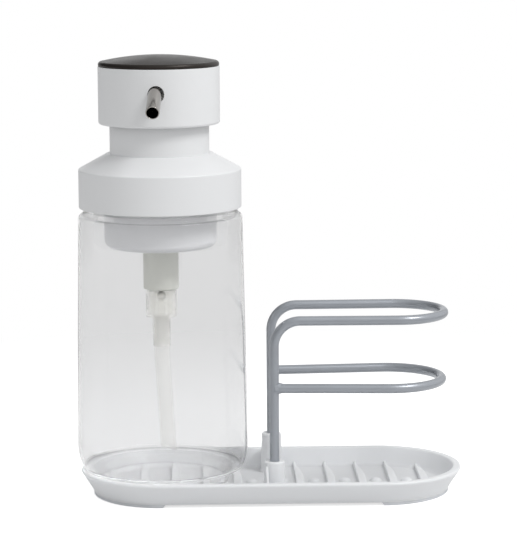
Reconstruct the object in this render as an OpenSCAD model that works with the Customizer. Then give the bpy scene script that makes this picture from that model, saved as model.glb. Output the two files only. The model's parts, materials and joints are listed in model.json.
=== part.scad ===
// Soap pump caddy: a clear pump bottle and a wire sponge holder that stand in one long tray.
// Z is up and the counter is z = 0. The origin lies under the bottle's axis, which is also
// the centre of the tray's left end. The sponge bay lies along +X and the spout points to -Y.

/* [Tray] */
// Length of the tray over its rim
tray_len = 178.8; // [165:0.2:220]
// Width of the tray over its rim
tray_w = 76.8; // [74:0.2:84]
// Height of the rim above the counter
tray_h = 12; // [11:0.1:16]
// Width of the rim's top
rim_w = 3.4; // [2.8:0.1:4]
// How far the wall leans in from the rim to the floor
tray_lean = 5.5; // [4:0.1:8]
// Thickness of the floor
tray_floor = 2.2; // [1.8:0.1:3]
// Height of the foot pads below the tray
foot_h = 1.4; // [1:0.1:3]
// Depth to which a foot pad is let into the floor
foot_inset = 0.8; // [0.4:0.1:1.2]

/* [Drainage ribs] */
// Distance from one rib to the next
rib_pitch = 14.65; // [12:0.05:20]
// Thickness of a rib
rib_t = 1.2; // [0.8:0.1:2]
// Height of the ribs above the floor
rib_h = 2.2; // [1.5:0.1:3]
// How far a rib's side bulges at its middle
rib_bulge = 2.6; // [1:0.1:4]
// Half the length of the bulge
rib_bulge_reach = 25; // [15:1:28]
// Radius of a drainage dome in plan
dome_r = 3.1; // [2:0.1:4]
// Height of a drainage dome above the floor
dome_h = 1.7; // [1:0.1:2]

/* [Wire holder] */
// Diameter of the coated wire
wire_d = 4.36; // [3.6:0.02:5]
// Distance between the two legs
leg_spacing = 43.66; // [38:0.02:48]
// Gap from the bottle's side to the legs' centres
holder_gap = 11.8; // [10.5:0.1:16]
// Height of the upper loop above the counter
upper_loop_h = 84.8; // [70:0.1:110]
// How far the upper loop's end is wider than the legs, on each side
upper_flare = 1; // [0.5:0.1:5]
// Reach of the upper loop from the legs to the wire's centre at its end
upper_loop_reach = 80.2; // [66:0.1:90]
// Radius of the bend at the top of each leg
leg_bend_r = 12; // [8:0.5:16]
// Height of the lower loop above the counter
lower_loop_h = 53.3; // [40:0.1:60]
// How far the lower loop's end is wider than the legs, on each side
lower_flare = 3.4; // [0.5:0.1:5]
// Reach of the lower loop from the legs to the wire's centre at its end
lower_loop_reach = 79.4; // [66:0.1:90]
// Radius of a leg socket at its top
boss_r = 4.65; // [4:0.05:6]
// How much wider a leg socket is at the floor
boss_flare = 0.5; // [0.2:0.1:1.2]
// Height of the front leg socket above the counter
boss_front_h = 19.2; // [16:0.1:24]
// Height of the rear leg socket above the counter
boss_rear_h = 22.7; // [16:0.1:28]

/* [Bottle] */
// Outer radius of the bottle at its widest
bottle_r = 40; // [39:0.1:42]
// Height of the bottle from its foot ring to its shoulder
bottle_h = 126.7; // [110:0.1:160]
// Thickness of the bottle's wall
bottle_wall = 1.6; // [1.2:0.1:2.4]
// Thickness of the bottle's floor
bottle_floor = 1.8; // [1.4:0.1:3]
// How much narrower the bottle is at its shoulder
bottle_taper = 1.95; // [1:0.05:2.4]
// Radius of the curve at the foot of the bottle's side
heel_r = 27; // [20:0.5:34]
// Height of that curve
heel_h = 11.5; // [9:0.1:13]
// Height of the straight stretch above that curve
straight_h = 10; // [6:0.5:20]
// Outer radius of the neck
neck_r = 31; // [30.4:0.1:31.6]
// Thickness of the neck
neck_wall = 2.4; // [2:0.1:3]
// Height of the neck above the shoulder
neck_h = 15.5; // [13:0.1:20]
// Rise of the screw thread in one turn
thread_pitch = 4; // [3:0.1:4.5]
// Height of the thread ridges
thread_h = 1; // [0.7:0.05:1.2]

/* [Collar] */
// Wall of the collar around the thread ring
collar_wall = 2.7; // [2:0.1:4]
// Depth of the set-back lip under the collar
lip_h = 2.5; // [1.5:0.1:4]
// How far that lip is set back
lip_step = 1.3; // [0.6:0.1:1.6]
// Height of the collar's cone
cone_h = 7.3; // [6:0.1:12]
// Width of the flat ledge around the neck sleeve
ledge_w = 1.5; // [1:0.1:3]
// Outer radius of the neck sleeve
sleeve_r = 23; // [22:0.1:24]
// Height of the neck sleeve above the collar
sleeve_h = 14; // [12.5:0.1:20]
// Wall of the neck sleeve
sleeve_wall = 1.8; // [1.4:0.1:2.4]

/* [Pump head] */
// Outer radius of the head
head_r = 28.05; // [27:0.05:30]
// Height of the head's shell
head_h = 26.5; // [25.5:0.1:30]
// Wall of the head's shell
head_wall = 1.85; // [1.4:0.05:2.4]
// How far the head laps over the neck sleeve
head_lap = 0.4; // [0.2:0.1:1]
// Travel of the head when it is pressed
press_travel = 12; // [8:0.5:12.5]
// Height of the soft cap's rim
cap_rim_h = 2.3; // [1.8:0.1:3]
// Rise of the soft cap's dome above its rim
cap_dome_h = 2.8; // [1.5:0.1:4]
// Outer diameter of the spout tube
spout_d = 6.3; // [5:0.1:6.4]
// Wall of the spout tube
spout_wall = 0.45; // [0.3:0.05:0.8]
// How far the spout reaches out of the head
spout_reach = 18; // [14:0.5:28]
// Slope of the spout, in degrees below level
spout_slope = 20; // [15:0.5:21]
// Drop from the head's top to the spout's root
spout_drop = 11.2; // [10.8:0.1:12]
// Turn of the head at rest, in degrees
spout_turn = -2.9; // [-45:0.1:45]
// Turn of the head's shell from the spout, in degrees
shell_turn = 0.9; // [-0.9:0.1:0.9]

/* [Pump] */
// Gap between the pump cup and the bottle's neck
cup_gap = 2.4; // [1:0.1:3.4]
// Depth of the pump cup below the bottle's mouth
cup_depth = 32.5; // [28:0.1:40]
// Wall of the pump cup
cup_wall = 1.5; // [1.2:0.1:2.2]
// Outer radius of the pump cylinder
cyl_r = 8.25; // [7.8:0.05:9]
// Wall of the pump cylinder
cyl_wall = 1.35; // [1:0.05:1.5]
// Length of the pump cylinder below the cup
cyl_drop = 20; // [14:0.1:26]
// Outer radius of the stem
stem_r = 3.95; // [3.6:0.05:4.2]
// Bore radius of the stem
stem_bore_r = 2.2; // [1.6:0.1:2.6]
// Radius of the skirt on the valve housing
skirt_r = 7.3; // [6.8:0.1:7.6]
// Length of that skirt
skirt_len = 13; // [9:0.1:16]
// Length of the valve housing below the cylinder
valve_len = 27; // [24:0.1:32]
// Outer radius of the dip tube
dip_r = 3.7; // [3.2:0.1:3.8]
// Wall of the dip tube
dip_wall = 0.8; // [0.5:0.05:1]
// Lean of the dip tube's end from its socket, in degrees
dip_lean = 3.8; // [1:0.1:5]
// Gap from the dip tube's end to the bottle's floor
dip_gap = 5.7; // [4:0.1:12]
// Radius of the inlet ball
ball_r = 2.3; // [2.1:0.05:2.5]
// Number of turns of the spring
spring_turns = 11; // [7:1:14]
// Radius of the spring's wire
spring_wire_r = 0.45; // [0.3:0.05:0.5]

/* [Hidden] */
$fn = 96;

// Overrun of every cut past the face it breaks through
cut = 1;
// Clearance of a part that slides or turns on another
run_gap = 0.05;
// Clearance of parts that are pressed or bonded together
press_gap = 0.02;
// Largest step, in degrees, along a rounded corner
arc_step = 15;

// Tray, from the counter up
rim_outer_round = 1.2;
rim_inner_round = 1;
tray_kick = 0.8;
tray_fillet = 2;
floor_z = foot_h + tray_floor;
rib_z = floor_z + rib_h;
tray_r = tray_w / 2;
tray_span = tray_len - tray_w;
lean_rate = tray_lean / (tray_h - rim_outer_round - foot_h - tray_kick);
function tray_inner_r(z) = tray_r - rim_w - lean_rate * (tray_h - rim_inner_round - z);
rib_sink = 0.8;
rib_margin = 3;
rib_start_gap = 10.8;
// Sides of the wide circle that shapes a rib's bulge
rib_fn = 360;
foot_edge = 0.2;
foot_overhang = 1.2;
foot_bevel = 1.1;
foot_edge_round = 0.4;
foot_key_step = 1.2;

// Wire holder
wire_r = wire_d / 2;
holder_x = bottle_r + holder_gap;
leg_y = leg_spacing / 2;
upper_loop_w = leg_spacing + 2 * upper_flare;
lower_loop_w = leg_spacing + 2 * lower_flare;
socket_floor = 1;
socket_z = floor_z + socket_floor;
gusset_t = 1.1;
gusset_out_share = 0.12;
weld_len = 1.4;
weld_h = 0.45;
weld_toe = 0.1;
// Sides of a round in a bent wire
wire_fn = 48;

// Bottle, from its foot ring up
seat_gap = 0.5;
bottle_z = rib_z;
heel_z = tray_h + seat_gap;
bottle_floor_z = heel_z + bottle_floor;
heel_top_z = heel_z + heel_h;
shoulder_z = bottle_z + bottle_h;
shoulder_r = bottle_r - bottle_taper;
shoulder_t = 2;
shoulder_round = 2;
heel_round = 0.5;
ring_wall = 1.6;
inner_round = 1.2;
mouth_r = neck_r - neck_wall;
mouth_z = shoulder_z + neck_h;
neck_round = 0.4;
heel_steps = 8;

// Screw thread on the neck and in the thread ring
thread_turns = 1;
thread_steps = 36;
thread_crest = 0.8;
thread_root = 1.6;
thread_gap = 0.3;
thread_sink = 0.6;
thread_start = 6;

// Collar and what it clamps, from the bottle's mouth up
gasket_h = 1.5;
flange_h = 1.8;
clamp_gap = 0.2;
gasket_z = mouth_z;
cup_z = gasket_z + gasket_h;
flange_z = cup_z + flange_h;
ceiling_z = flange_z + flange_h + clamp_gap;
collar_gap = 0.5;
collar_z = shoulder_z + collar_gap;
ring_in_r = neck_r + thread_h + thread_gap;
ring_t = 2.7;
ring_out_r = ring_in_r + ring_t;
collar_r = ring_out_r + collar_wall;
ring_gap = 0.6;
flange_inset = 0.5;
collar_top_z = ceiling_z + cone_h;
collar_round = 0.8;
sleeve_z = collar_top_z + sleeve_h;
sleeve_top = 1.6;
sleeve_round = 0.8;
bush_r = 6;
bush_flange = 1.2;
bush_flange_h = 0.8;
bush_len = 6.6;

// Pump head, from the sleeve's top up
head_z = sleeve_z - head_lap;
head_top_z = head_z + head_h;
head_round = 1.2;
head_in_r = head_r - head_wall;
plate_h = 1.5;
plate_drop = 0.4;
plate_z = head_top_z - plate_drop - plate_h;
shelf_h = 1.4;
shelf_w = 1.8;
cap_inset = 0.15;
cap_round = 1.05;
cap_crease = 0.6;
spout_z = head_top_z - spout_drop;
spout_r = spout_d / 2;
spout_hole_gap = 0.6;
spout_root_gap = 5.5;
core_r = 7.5;
core_len = 9.9;
core_z = plate_z - core_len;
core_socket = 6.3;
core_arm = 9.5;
core_wall = 1.1;
core_duct_r = 1.8;
core_duct_top = 1.5;

// Pump, from the cup's floor down and up
cup_r = mouth_r - cup_gap;
cup_floor_z = cup_z - cup_depth;
cup_round = 3.5;
cup_draft = 0.2;
cup_floor_top_z = cup_floor_z + cup_wall;
cyl_z = cup_floor_z - cyl_drop;
cyl_end = 1.5;
cyl_in_r = cyl_r - cyl_wall;
cyl_top_drop = 1.5;
cyl_top_z = cup_z - cyl_top_drop;
cyl_round = 0.8;
cyl_flange = 3.2;
cyl_flange_h = 1.6;
cap_spigot = 3;
cap_flange = 1.2;
cap_flange_h = 2;
piston_h = 8;
piston_groove = 3;
piston_land = 2.5;
piston_gap = 0.3;
piston_inset = 0.7;
piston_r = cyl_in_r - piston_inset;
groove_depth = 1.2;
lip_gap = 0.1;
lip_t = 0.6;
lip_waist = 0.55;
stem_foot_h = 1;
piston_top_z = cyl_top_z - cap_spigot - piston_gap;
piston_z = piston_top_z - piston_h;
stem_z = piston_z - stem_foot_h;
stem_top_z = core_z + core_socket - piston_gap;

// Valve housing, from the cylinder's end down
valve_z = cyl_z - valve_len;
valve_wall = 0.5;
valve_r = dip_r + valve_wall;
valve_spigot = 2.5;
cage_gap = 0.7;
cage_r = ball_r + cage_gap;
cage_top_drop = 0.2;
cage_lip = 0.3;
cage_lip_r = ball_r - cage_lip;
seat_lip = 0.7;
seat_r = ball_r - seat_lip;
seat_drop = 5.2;
seat_z = cyl_z - seat_drop;
seat_top_z = seat_z + cage_r - seat_r;
dip_socket = 14.5;
dip_ledge_z = valve_z + dip_socket;
skirt_wall = 1;
skirt_top = 1;
skirt_round = 0.8;
fin_t = 1;
fin_count = 4;
fin_rise = 1;
ball_z = seat_z + ball_r * sqrt(2) - seat_r + run_gap;
dip_z = bottle_floor_z + dip_gap;
dip_play = 0.2;
dip_cut = 25;
// Sides of a full turn of the dip tube's wide curve
dip_sweep_fn = 720;

// Spring between the cylinder's end and the stem's foot
spring_z = cyl_z + cyl_end;
spring_len = stem_z - spring_z;
spring_shift = 0.15;
spring_r = (cyl_in_r + valve_r) / 2 - spring_shift;
spring_rings = 8;
spring_sides = 6;
spring_seat = 0.02;

// A length to the nearest thousandth, so that pieces meet exactly
function fine(x) = round(x * 1000) / 1000;

// A polygon whose corners are rounded: each vertex is [x, y] or [x, y, corner radius]
function unit(v) = v / norm(v);
function swing(a) = a > 180 ? a - 360 : (a < -180 ? a + 360 : a);
function corner_arc(a, b, c, r) =
    let (
        u = unit(a - b),
        v = unit(c - b),
        half = acos(u * v) / 2,
        mid = b + unit(u + v) * r / sin(half),
        p = b + u * r / tan(half) - mid,
        q = b + v * r / tan(half) - mid,
        start = atan2(p[1], p[0]),
        turn = swing(atan2(q[1], q[0]) - start),
        steps = max(2, ceil(abs(turn) / arc_step))
    )
    [for (i = [0 : steps]) mid + r * [cos(start + turn * i / steps), sin(start + turn * i / steps)]];
function flat(p) = [p[0], p[1]];
function rounded(v) = [
    for (i = [0 : len(v) - 1])
        let (
            a = flat(v[(i + len(v) - 1) % len(v)]),
            b = flat(v[i]),
            c = flat(v[(i + 1) % len(v)]),
            r = len(v[i]) > 2 ? v[i][2] : 0
        )
        each r > 0 ? corner_arc(a, b, c, r) : [b]
];

// A solid turned about the Z axis from the half section v
module lathe(v) {
    rotate_extrude() polygon(rounded(v));
}

// The half section v carried around the tray's long oval
module around_tray(v) {
    section = rounded(v);
    rotate([0, 0, 90]) rotate_extrude(angle = 180) polygon(section);
    translate([tray_span, 0, 0]) rotate([0, 0, -90]) rotate_extrude(angle = 180) polygon(section);
    for (side = [0, 1])
        mirror([0, side, 0])
            rotate([90, 0, 90]) linear_extrude(tray_span) polygon(section);
}

// A ridge that winds around the Z axis: sink is its buried radius and crest its free one
module helix_ridge(sink, crest, z) {
    steps = thread_turns * thread_steps;
    points = [
        for (i = [0 : steps])
            let (
                a = 360 * i / thread_steps,
                h = z + thread_pitch * i / thread_steps,
                tip = (i == 0 || i == steps) ? sink + (crest - sink) / 2 : crest
            )
            each [
                [sink * cos(a), sink * sin(a), h - thread_root / 2],
                [tip * cos(a), tip * sin(a), h - thread_crest / 2],
                [tip * cos(a), tip * sin(a), h + thread_crest / 2],
                [sink * cos(a), sink * sin(a), h + thread_root / 2]
            ]
    ];
    flip = crest > sink;
    sides = [
        for (i = [0 : steps - 1], j = [0 : 3])
            let (a = 4 * i + j, b = 4 * i + (j + 1) % 4)
            each [[a, a + 4, b + 4], [a, b + 4, b]]
    ];
    last = 4 * steps;
    faces = concat([[0, 1, 2], [0, 2, 3]], sides, [[last + 2, last + 1, last], [last + 3, last + 2, last]]);
    polyhedron(points, [for (f = faces) flip ? [f[2], f[1], f[0]] : f], convexity = 10);
}

// Half the length of a rib that crosses the tray at x, from wall to wall
function past_centre(x) = max(0, -x, x - tray_span);
function rib_half(x) =
    let (out = max(past_centre(x), past_centre(x + rib_t)), reach = tray_inner_r(rib_z) + rib_sink)
    sqrt(reach * reach - out * out);
rib_first_x = holder_x + rib_start_gap;
rib_low = ceil((rib_margin - tray_inner_r(rib_z) - rib_first_x) / rib_pitch);
rib_high = floor((tray_span + tray_inner_r(rib_z) - rib_margin - rib_first_x) / rib_pitch);
rib_places = [
    for (k = [rib_low : rib_high])
        let (x = rib_first_x + k * rib_pitch)
        if (abs(x + rib_t / 2 - holder_x) > boss_r + rib_bulge) x
];
dome_places = [
    for (k = [rib_low : rib_high - 1]) rib_first_x + (k + 1 / 2) * rib_pitch + (rib_t + rib_bulge / 2) / 2
];

// A drainage rib with its bulge on the +X side, a segment of a wide circle rooted in the rib
module rib(x) {
    half = rib_half(x);
    reach = min(rib_bulge_reach, half - rib_margin);
    sweep_r = (reach * reach + rib_bulge * rib_bulge) / (2 * rib_bulge);
    height = rib_z - floor_z + tray_floor / 2;
    translate([x, -half, floor_z - tray_floor / 2]) cube([rib_t, 2 * half, height]);
    translate([x + rib_t / 2, 0, floor_z - tray_floor / 2])
        intersection() {
            translate([rib_t / 2 + rib_bulge - sweep_r, 0, 0]) cylinder(r = sweep_r, h = height, $fn = rib_fn);
            translate([0, -half, 0]) cube([rib_t + rib_bulge, 2 * half, height]);
        }
}

// A drainage dome, the cap of a ball that is sunk in the floor, with its poles on its sides
module dome(x) {
    ball = (dome_r * dome_r + dome_h * dome_h) / (2 * dome_h);
    translate([x, 0, floor_z])
        intersection() {
            translate([0, 0, dome_h - ball]) rotate([90, 0, 0]) sphere(r = ball);
            translate([-ball, -ball, -tray_floor / 2]) cube([2 * ball, 2 * ball, tray_floor + dome_h]);
        }
}

// A leg socket with the web that ties it to the long wall
module leg_socket(side, top_z) {
    mirror([0, side < 0 ? 1 : 0, 0]) {
        translate([holder_x, leg_y, floor_z - tray_floor / 2])
            cylinder(r1 = boss_r + boss_flare, r2 = boss_r, h = top_z - floor_z + tray_floor / 2);
        translate([holder_x - boss_r + gusset_t / 2, 0, 0])
            rotate([90, 0, -90])
                linear_extrude(gusset_t)
                    polygon([
                        [-leg_y, floor_z - tray_floor / 2],
                        [-leg_y, top_z],
                        [-tray_r + rim_w - gusset_out_share * rim_w, tray_h - rim_inner_round],
                        [-tray_inner_r(floor_z), floor_z - tray_floor / 2]
                    ]);
    }
}

module tray() {
    color("white")
        difference() {
            union() {
                around_tray([
                    [0, foot_h],
                    [tray_r - tray_lean, foot_h, foot_edge_round],
                    [tray_r - tray_lean, foot_h + tray_kick],
                    [tray_r, tray_h - rim_outer_round],
                    [tray_r, tray_h, rim_outer_round],
                    [tray_r - rim_w, tray_h, rim_inner_round],
                    [tray_inner_r(tray_h - rim_inner_round), tray_h - rim_inner_round],
                    [tray_inner_r(floor_z), floor_z, tray_fillet],
                    [0, floor_z]
                ]);
                for (x = rib_places) rib(x);
                for (x = dome_places) dome(x);
                leg_socket(-1, boss_front_h);
                leg_socket(1, boss_rear_h);
            }
            for (side = [-1, 1])
                translate([holder_x, side * leg_y, socket_z])
                    cylinder(r = wire_r + run_gap, h = boss_rear_h + boss_front_h);
            for (end = [0, 1])
                foot_place(end)
                    foot_key(tray_r - tray_lean - foot_edge - foot_key_step + run_gap, foot_h - cut,
                        foot_h + foot_inset, foot_overhang - foot_key_step + run_gap);
        }
}

// The two feet are mirror images about the tray's middle
module foot_place(end) {
    if (end == 0)
        children();
    else
        translate([tray_span, 0, 0]) mirror([1, 0, 0]) children();
}

// A half disc of radius r, from z = low to z = high, that ends at x = side
module foot_key(r, low, high, side) {
    intersection() {
        translate([0, 0, low]) cylinder(r = r, h = high - low);
        translate([-r, -r, low]) cube([r + side, 2 * r, high - low]);
    }
}

module foot(end) {
    r = tray_r - tray_lean - foot_edge;
    color("gainsboro")
        foot_place(end)
            union() {
                intersection() {
                    lathe([[0, 0], [r, 0, foot_edge_round], [r, foot_h], [0, foot_h]]);
                    translate([0, r, 0])
                        rotate([90, 0, 0])
                            linear_extrude(2 * r)
                                polygon([
                                    [-r, 0],
                                    [foot_overhang - foot_bevel, 0],
                                    [foot_overhang, foot_h],
                                    [-r, foot_h]
                                ]);
                }
                foot_key(r - foot_key_step, foot_h / 2, foot_h + foot_inset, foot_overhang - foot_key_step);
            }
}

module left_foot() {
    foot(0);
}

module right_foot() {
    foot(1);
}

// Angle by which a loop's arms spread, so that they run from the legs and touch its round end
function spread(half_w, reach) =
    let (centre = reach - half_w)
    asin(half_w / norm([centre, leg_y])) - atan(leg_y / centre);

// Half of a loop about the tray's middle plane, with its arm from the leg's centre outwards.
// Its children stand in the arm's own frame: the leg is at the origin and the arm runs along +X.
module half_loop(half_w, reach, z, start) {
    turn = spread(half_w, reach);
    centre = reach - half_w;
    arm = fine(sqrt(centre * centre + leg_y * leg_y - half_w * half_w));
    translate([holder_x, leg_y, z])
        rotate([0, 0, turn]) {
            children();
            translate([start, 0, 0]) rotate([0, 90, 0]) cylinder(r = wire_r, h = arm - start);
        }
    intersection() {
        translate([holder_x, leg_y, z])
            rotate([0, 0, turn])
                translate([arm, -half_w, 0])
                    rotate([0, 0, -90])
                        rotate_extrude(angle = 180) translate([half_w, 0]) circle(r = wire_r);
        translate([holder_x, 0, z - half_w]) cube([2 * reach, 2 * half_w, 2 * half_w]);
    }
}

// Half of the upper wire: a leg, its bend and half of the loop
module half_upper() {
    drop = upper_loop_h - leg_bend_r;
    half_loop(upper_loop_w / 2, upper_loop_reach, upper_loop_h, leg_bend_r) {
        translate([0, 0, socket_z - upper_loop_h]) cylinder(r = wire_r, h = drop - socket_z);
        translate([leg_bend_r, 0, -leg_bend_r])
            rotate([90, 0, 0])
                rotate([0, 0, 90])
                    rotate_extrude(angle = 90) translate([leg_bend_r, 0]) circle(r = wire_r);
    }
}

module upper_wire() {
    $fn = wire_fn;
    color("slategray")
        union() {
            half_upper();
            mirror([0, 1, 0]) half_upper();
        }
}

// What the legs take out of everything that is welded to them
module leg_cuts() {
    for (side = [-1, 1])
        translate([holder_x, side * leg_y, lower_loop_h - lower_loop_w / 2])
            cylinder(r = wire_r + press_gap, h = lower_loop_w);
}

module lower_loop() {
    $fn = wire_fn;
    color("slategray")
        difference() {
            for (side = [0, 1])
                mirror([0, side, 0]) half_loop(lower_loop_w / 2, lower_loop_reach, lower_loop_h, wire_r / 2);
            leg_cuts();
        }
}

module weld_beads() {
    turn = spread(lower_loop_w / 2, lower_loop_reach);
    color("lightslategray")
        difference() {
            for (side = [-1, 1])
                translate([holder_x, side * leg_y, lower_loop_h])
                    rotate([0, 90, side * turn])
                        difference() {
                            cylinder(r1 = wire_r + weld_h, r2 = wire_r + weld_toe, h = wire_r + weld_len);
                            translate([0, 0, -cut])
                                cylinder(r = wire_r + press_gap, h = wire_r + weld_len + 2 * cut);
                        }
            leg_cuts();
        }
}

// Points of the heel curve at a distance in from its outer face, from level z up
function heel_curve(inset, z) =
    let (
        r = heel_r - inset,
        low = asin((z - heel_top_z) / r)
    )
    [
        for (i = [1 : heel_steps])
            let (a = low * (1 - i / heel_steps))
            [bottle_r - heel_r + r * cos(a), heel_top_z + r * sin(a)]
    ];
function heel_foot(inset, z) =
    let (r = heel_r - inset)
    bottle_r - heel_r + sqrt(r * r - (z - heel_top_z) * (z - heel_top_z));
function backwards(v) = [for (i = [len(v) - 1 : -1 : 0]) v[i]];

module bottle() {
    ring_low_r = tray_inner_r(bottle_z) - seat_gap;
    ring_high_r = tray_inner_r(heel_z) - seat_gap;
    color([0.85, 0.88, 0.9, 0.35])
        union() {
            lathe(concat(
                [
                    [ring_low_r - ring_wall, bottle_z],
                    [ring_low_r, bottle_z],
                    [ring_high_r, heel_z],
                    [heel_foot(0, heel_z), heel_z, heel_round]
                ],
                heel_curve(0, heel_z),
                [
                    [bottle_r, heel_top_z + straight_h],
                    [shoulder_r, shoulder_z, shoulder_round],
                    [neck_r, shoulder_z],
                    [neck_r, mouth_z, neck_round],
                    [mouth_r, mouth_z, neck_round],
                    [mouth_r, shoulder_z - shoulder_t],
                    [shoulder_r - bottle_wall, shoulder_z - shoulder_t, inner_round],
                    [bottle_r - bottle_wall, heel_top_z + straight_h]
                ],
                backwards(heel_curve(bottle_wall, bottle_floor_z)),
                [
                    [heel_foot(bottle_wall, bottle_floor_z), bottle_floor_z, inner_round],
                    [0, bottle_floor_z],
                    [0, heel_z],
                    [ring_high_r - ring_wall, heel_z]
                ]
            ));
            helix_ridge(neck_r - thread_sink, neck_r + thread_h, shoulder_z + thread_start);
        }
}

module neck_gasket() {
    color("dimgray")
        lathe([[mouth_r, gasket_z], [neck_r, gasket_z], [neck_r, cup_z], [mouth_r, cup_z]]);
}

module thread_ring() {
    color("whitesmoke")
        union() {
            lathe([
                [ring_in_r, collar_z + ring_gap, neck_round],
                [ring_out_r, collar_z + ring_gap, neck_round],
                [ring_out_r, ceiling_z - clamp_gap],
                [ring_in_r, ceiling_z - clamp_gap]
            ]);
            helix_ridge(
                ring_in_r + thread_sink,
                neck_r + thread_gap,
                shoulder_z + thread_start - thread_pitch / 2
            );
        }
}

module collar() {
    inner = ring_out_r + press_gap;
    hole = sleeve_r + press_gap;
    color("white")
        lathe([
            [inner, collar_z],
            [collar_r - lip_step, collar_z, neck_round],
            [collar_r - lip_step, collar_z + lip_h],
            [collar_r, collar_z + lip_h, neck_round],
            [collar_r, ceiling_z, collar_round],
            [sleeve_r + ledge_w, collar_top_z, neck_round],
            [hole, collar_top_z],
            [hole, ceiling_z],
            [inner, ceiling_z]
        ]);
}

module neck_sleeve() {
    inner = sleeve_r - sleeve_wall;
    bore = bush_r + press_gap;
    color("white")
        lathe([
            [inner, flange_z],
            [neck_r - flange_inset, flange_z],
            [neck_r - flange_inset, flange_z + flange_h],
            [sleeve_r, flange_z + flange_h],
            [sleeve_r, sleeve_z, sleeve_round],
            [bore, sleeve_z],
            [bore, sleeve_z - sleeve_top],
            [inner, sleeve_z - sleeve_top]
        ]);
}

module guide_bush() {
    color("ivory")
        lathe([
            [stem_r + run_gap, sleeve_z + bush_flange_h - bush_len - bush_flange_h],
            [bush_r, sleeve_z - bush_len],
            [bush_r, sleeve_z],
            [bush_r + bush_flange, sleeve_z],
            [bush_r + bush_flange, sleeve_z + bush_flange_h],
            [stem_r + run_gap, sleeve_z + bush_flange_h]
        ]);
}

module pump_cup() {
    hole = cyl_r + press_gap;
    color([0.93, 0.94, 0.95, 0.8])
        lathe([
            [cup_r - cup_wall, flange_z],
            [neck_r, flange_z],
            [neck_r, cup_z],
            [cup_r, cup_z],
            [cup_r - cup_draft, cup_floor_z, cup_round],
            [hole, cup_floor_z],
            [hole, cup_floor_top_z],
            [cup_r - cup_draft - cup_wall, cup_floor_top_z, cup_round - cup_wall]
        ]);
}

module pump_cylinder() {
    hole = valve_r + press_gap;
    color([0.9, 0.9, 0.86, 0.9])
        lathe([
            [hole, cyl_z],
            [cyl_r, cyl_z, cyl_round],
            [cyl_r, cup_floor_top_z],
            [cyl_r + cyl_flange, cup_floor_top_z],
            [cyl_r + cyl_flange, cup_floor_top_z + cyl_flange_h],
            [cyl_r, cup_floor_top_z + cyl_flange_h],
            [cyl_r, cyl_top_z],
            [cyl_in_r, cyl_top_z],
            [cyl_in_r, cyl_z + cyl_end],
            [hole, cyl_z + cyl_end]
        ]);
}

module cylinder_cap() {
    bore = stem_r + run_gap;
    color("ivory")
        lathe([
            [bore, cyl_top_z - cap_spigot],
            [cyl_in_r - run_gap, cyl_top_z - cap_spigot],
            [cyl_in_r - run_gap, cyl_top_z],
            [cyl_r + cap_flange, cyl_top_z],
            [cyl_r + cap_flange, cyl_top_z + cap_flange_h],
            [bore, cyl_top_z + cap_flange_h]
        ]);
}

module valve_housing() {
    color([0.9, 0.92, 0.92, 0.6])
        union() {
            lathe([
                [dip_r + press_gap, valve_z],
                [valve_r, valve_z],
                [valve_r, cyl_z - skirt_top],
                [skirt_r - skirt_wall, cyl_z - skirt_top],
                [skirt_r - skirt_wall, cyl_z - skirt_len],
                [skirt_r, cyl_z - skirt_len, skirt_wall / 3],
                [skirt_r, cyl_z, skirt_wall / 3],
                [valve_r, cyl_z],
                [valve_r, cyl_z + valve_spigot],
                [cage_lip_r, cyl_z + valve_spigot],
                [cage_lip_r, cyl_z - cage_top_drop],
                [cage_r, cyl_z - cage_top_drop],
                [cage_r, seat_top_z],
                [seat_r, seat_z],
                [seat_r, dip_ledge_z],
                [dip_r + press_gap, dip_ledge_z]
            ]);
            for (i = [0 : fin_count - 1])
                rotate([0, 0, (i + 1 / 2) * 360 / fin_count])
                    translate([valve_r - valve_wall / 2, -fin_t / 2, cyl_z - skirt_len + fin_rise])
                        cube([
                            skirt_r - skirt_wall / 2 - valve_r + valve_wall / 2,
                            fin_t,
                            skirt_len - fin_rise - skirt_top / 2
                        ]);
        }
}

module inlet_ball() {
    color("silver")
        translate([0, 0, ball_z]) sphere(r = ball_r);
}

module dip_section() {
    $fn = wire_fn;
    difference() {
        circle(r = dip_r);
        circle(r = dip_r - dip_wall);
    }
}

// The tube runs straight out of its socket and then curves gently to its slanted end
module dip_tube() {
    drop = valve_z - dip_z;
    sweep_r = fine(drop / sin(2 * dip_lean));
    past = 2 * dip_r / sweep_r * 180 / PI;
    color([0.93, 0.94, 0.94, 0.7])
        difference() {
            union() {
                translate([0, 0, valve_z]) linear_extrude(dip_socket - dip_play) dip_section();
                translate([sweep_r, 0, valve_z])
                    rotate([90, 0, 0])
                        rotate([0, 0, 180])
                            rotate_extrude(angle = 2 * dip_lean + past, $fn = dip_sweep_fn)
                                translate([sweep_r, 0]) dip_section();
            }
            translate([drop * tan(dip_lean), 0, dip_z])
                rotate([0, dip_cut, 0])
                    translate([-4 * dip_r, -4 * dip_r, -8 * dip_r]) cube([8 * dip_r, 8 * dip_r, 8 * dip_r]);
        }
}

// One unbroken helix, squashed by nothing: its centre line runs from seat to seat
function spring_at(i) =
    let (
        steps = spring_turns * spring_rings,
        a = 360 * i / spring_rings,
        rise = spring_len - 2 * (spring_wire_r + spring_seat)
    )
    [spring_r * cos(a), spring_r * sin(a), spring_z + spring_wire_r + spring_seat + rise * i / steps];
function spring_gap() =
    let (steps = spring_turns * spring_rings)
    min([
        for (i = [0 : steps], j = [i + spring_rings / 2 : steps])
            norm(spring_at(i) - spring_at(j)) - 2 * spring_wire_r
    ]);

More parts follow.
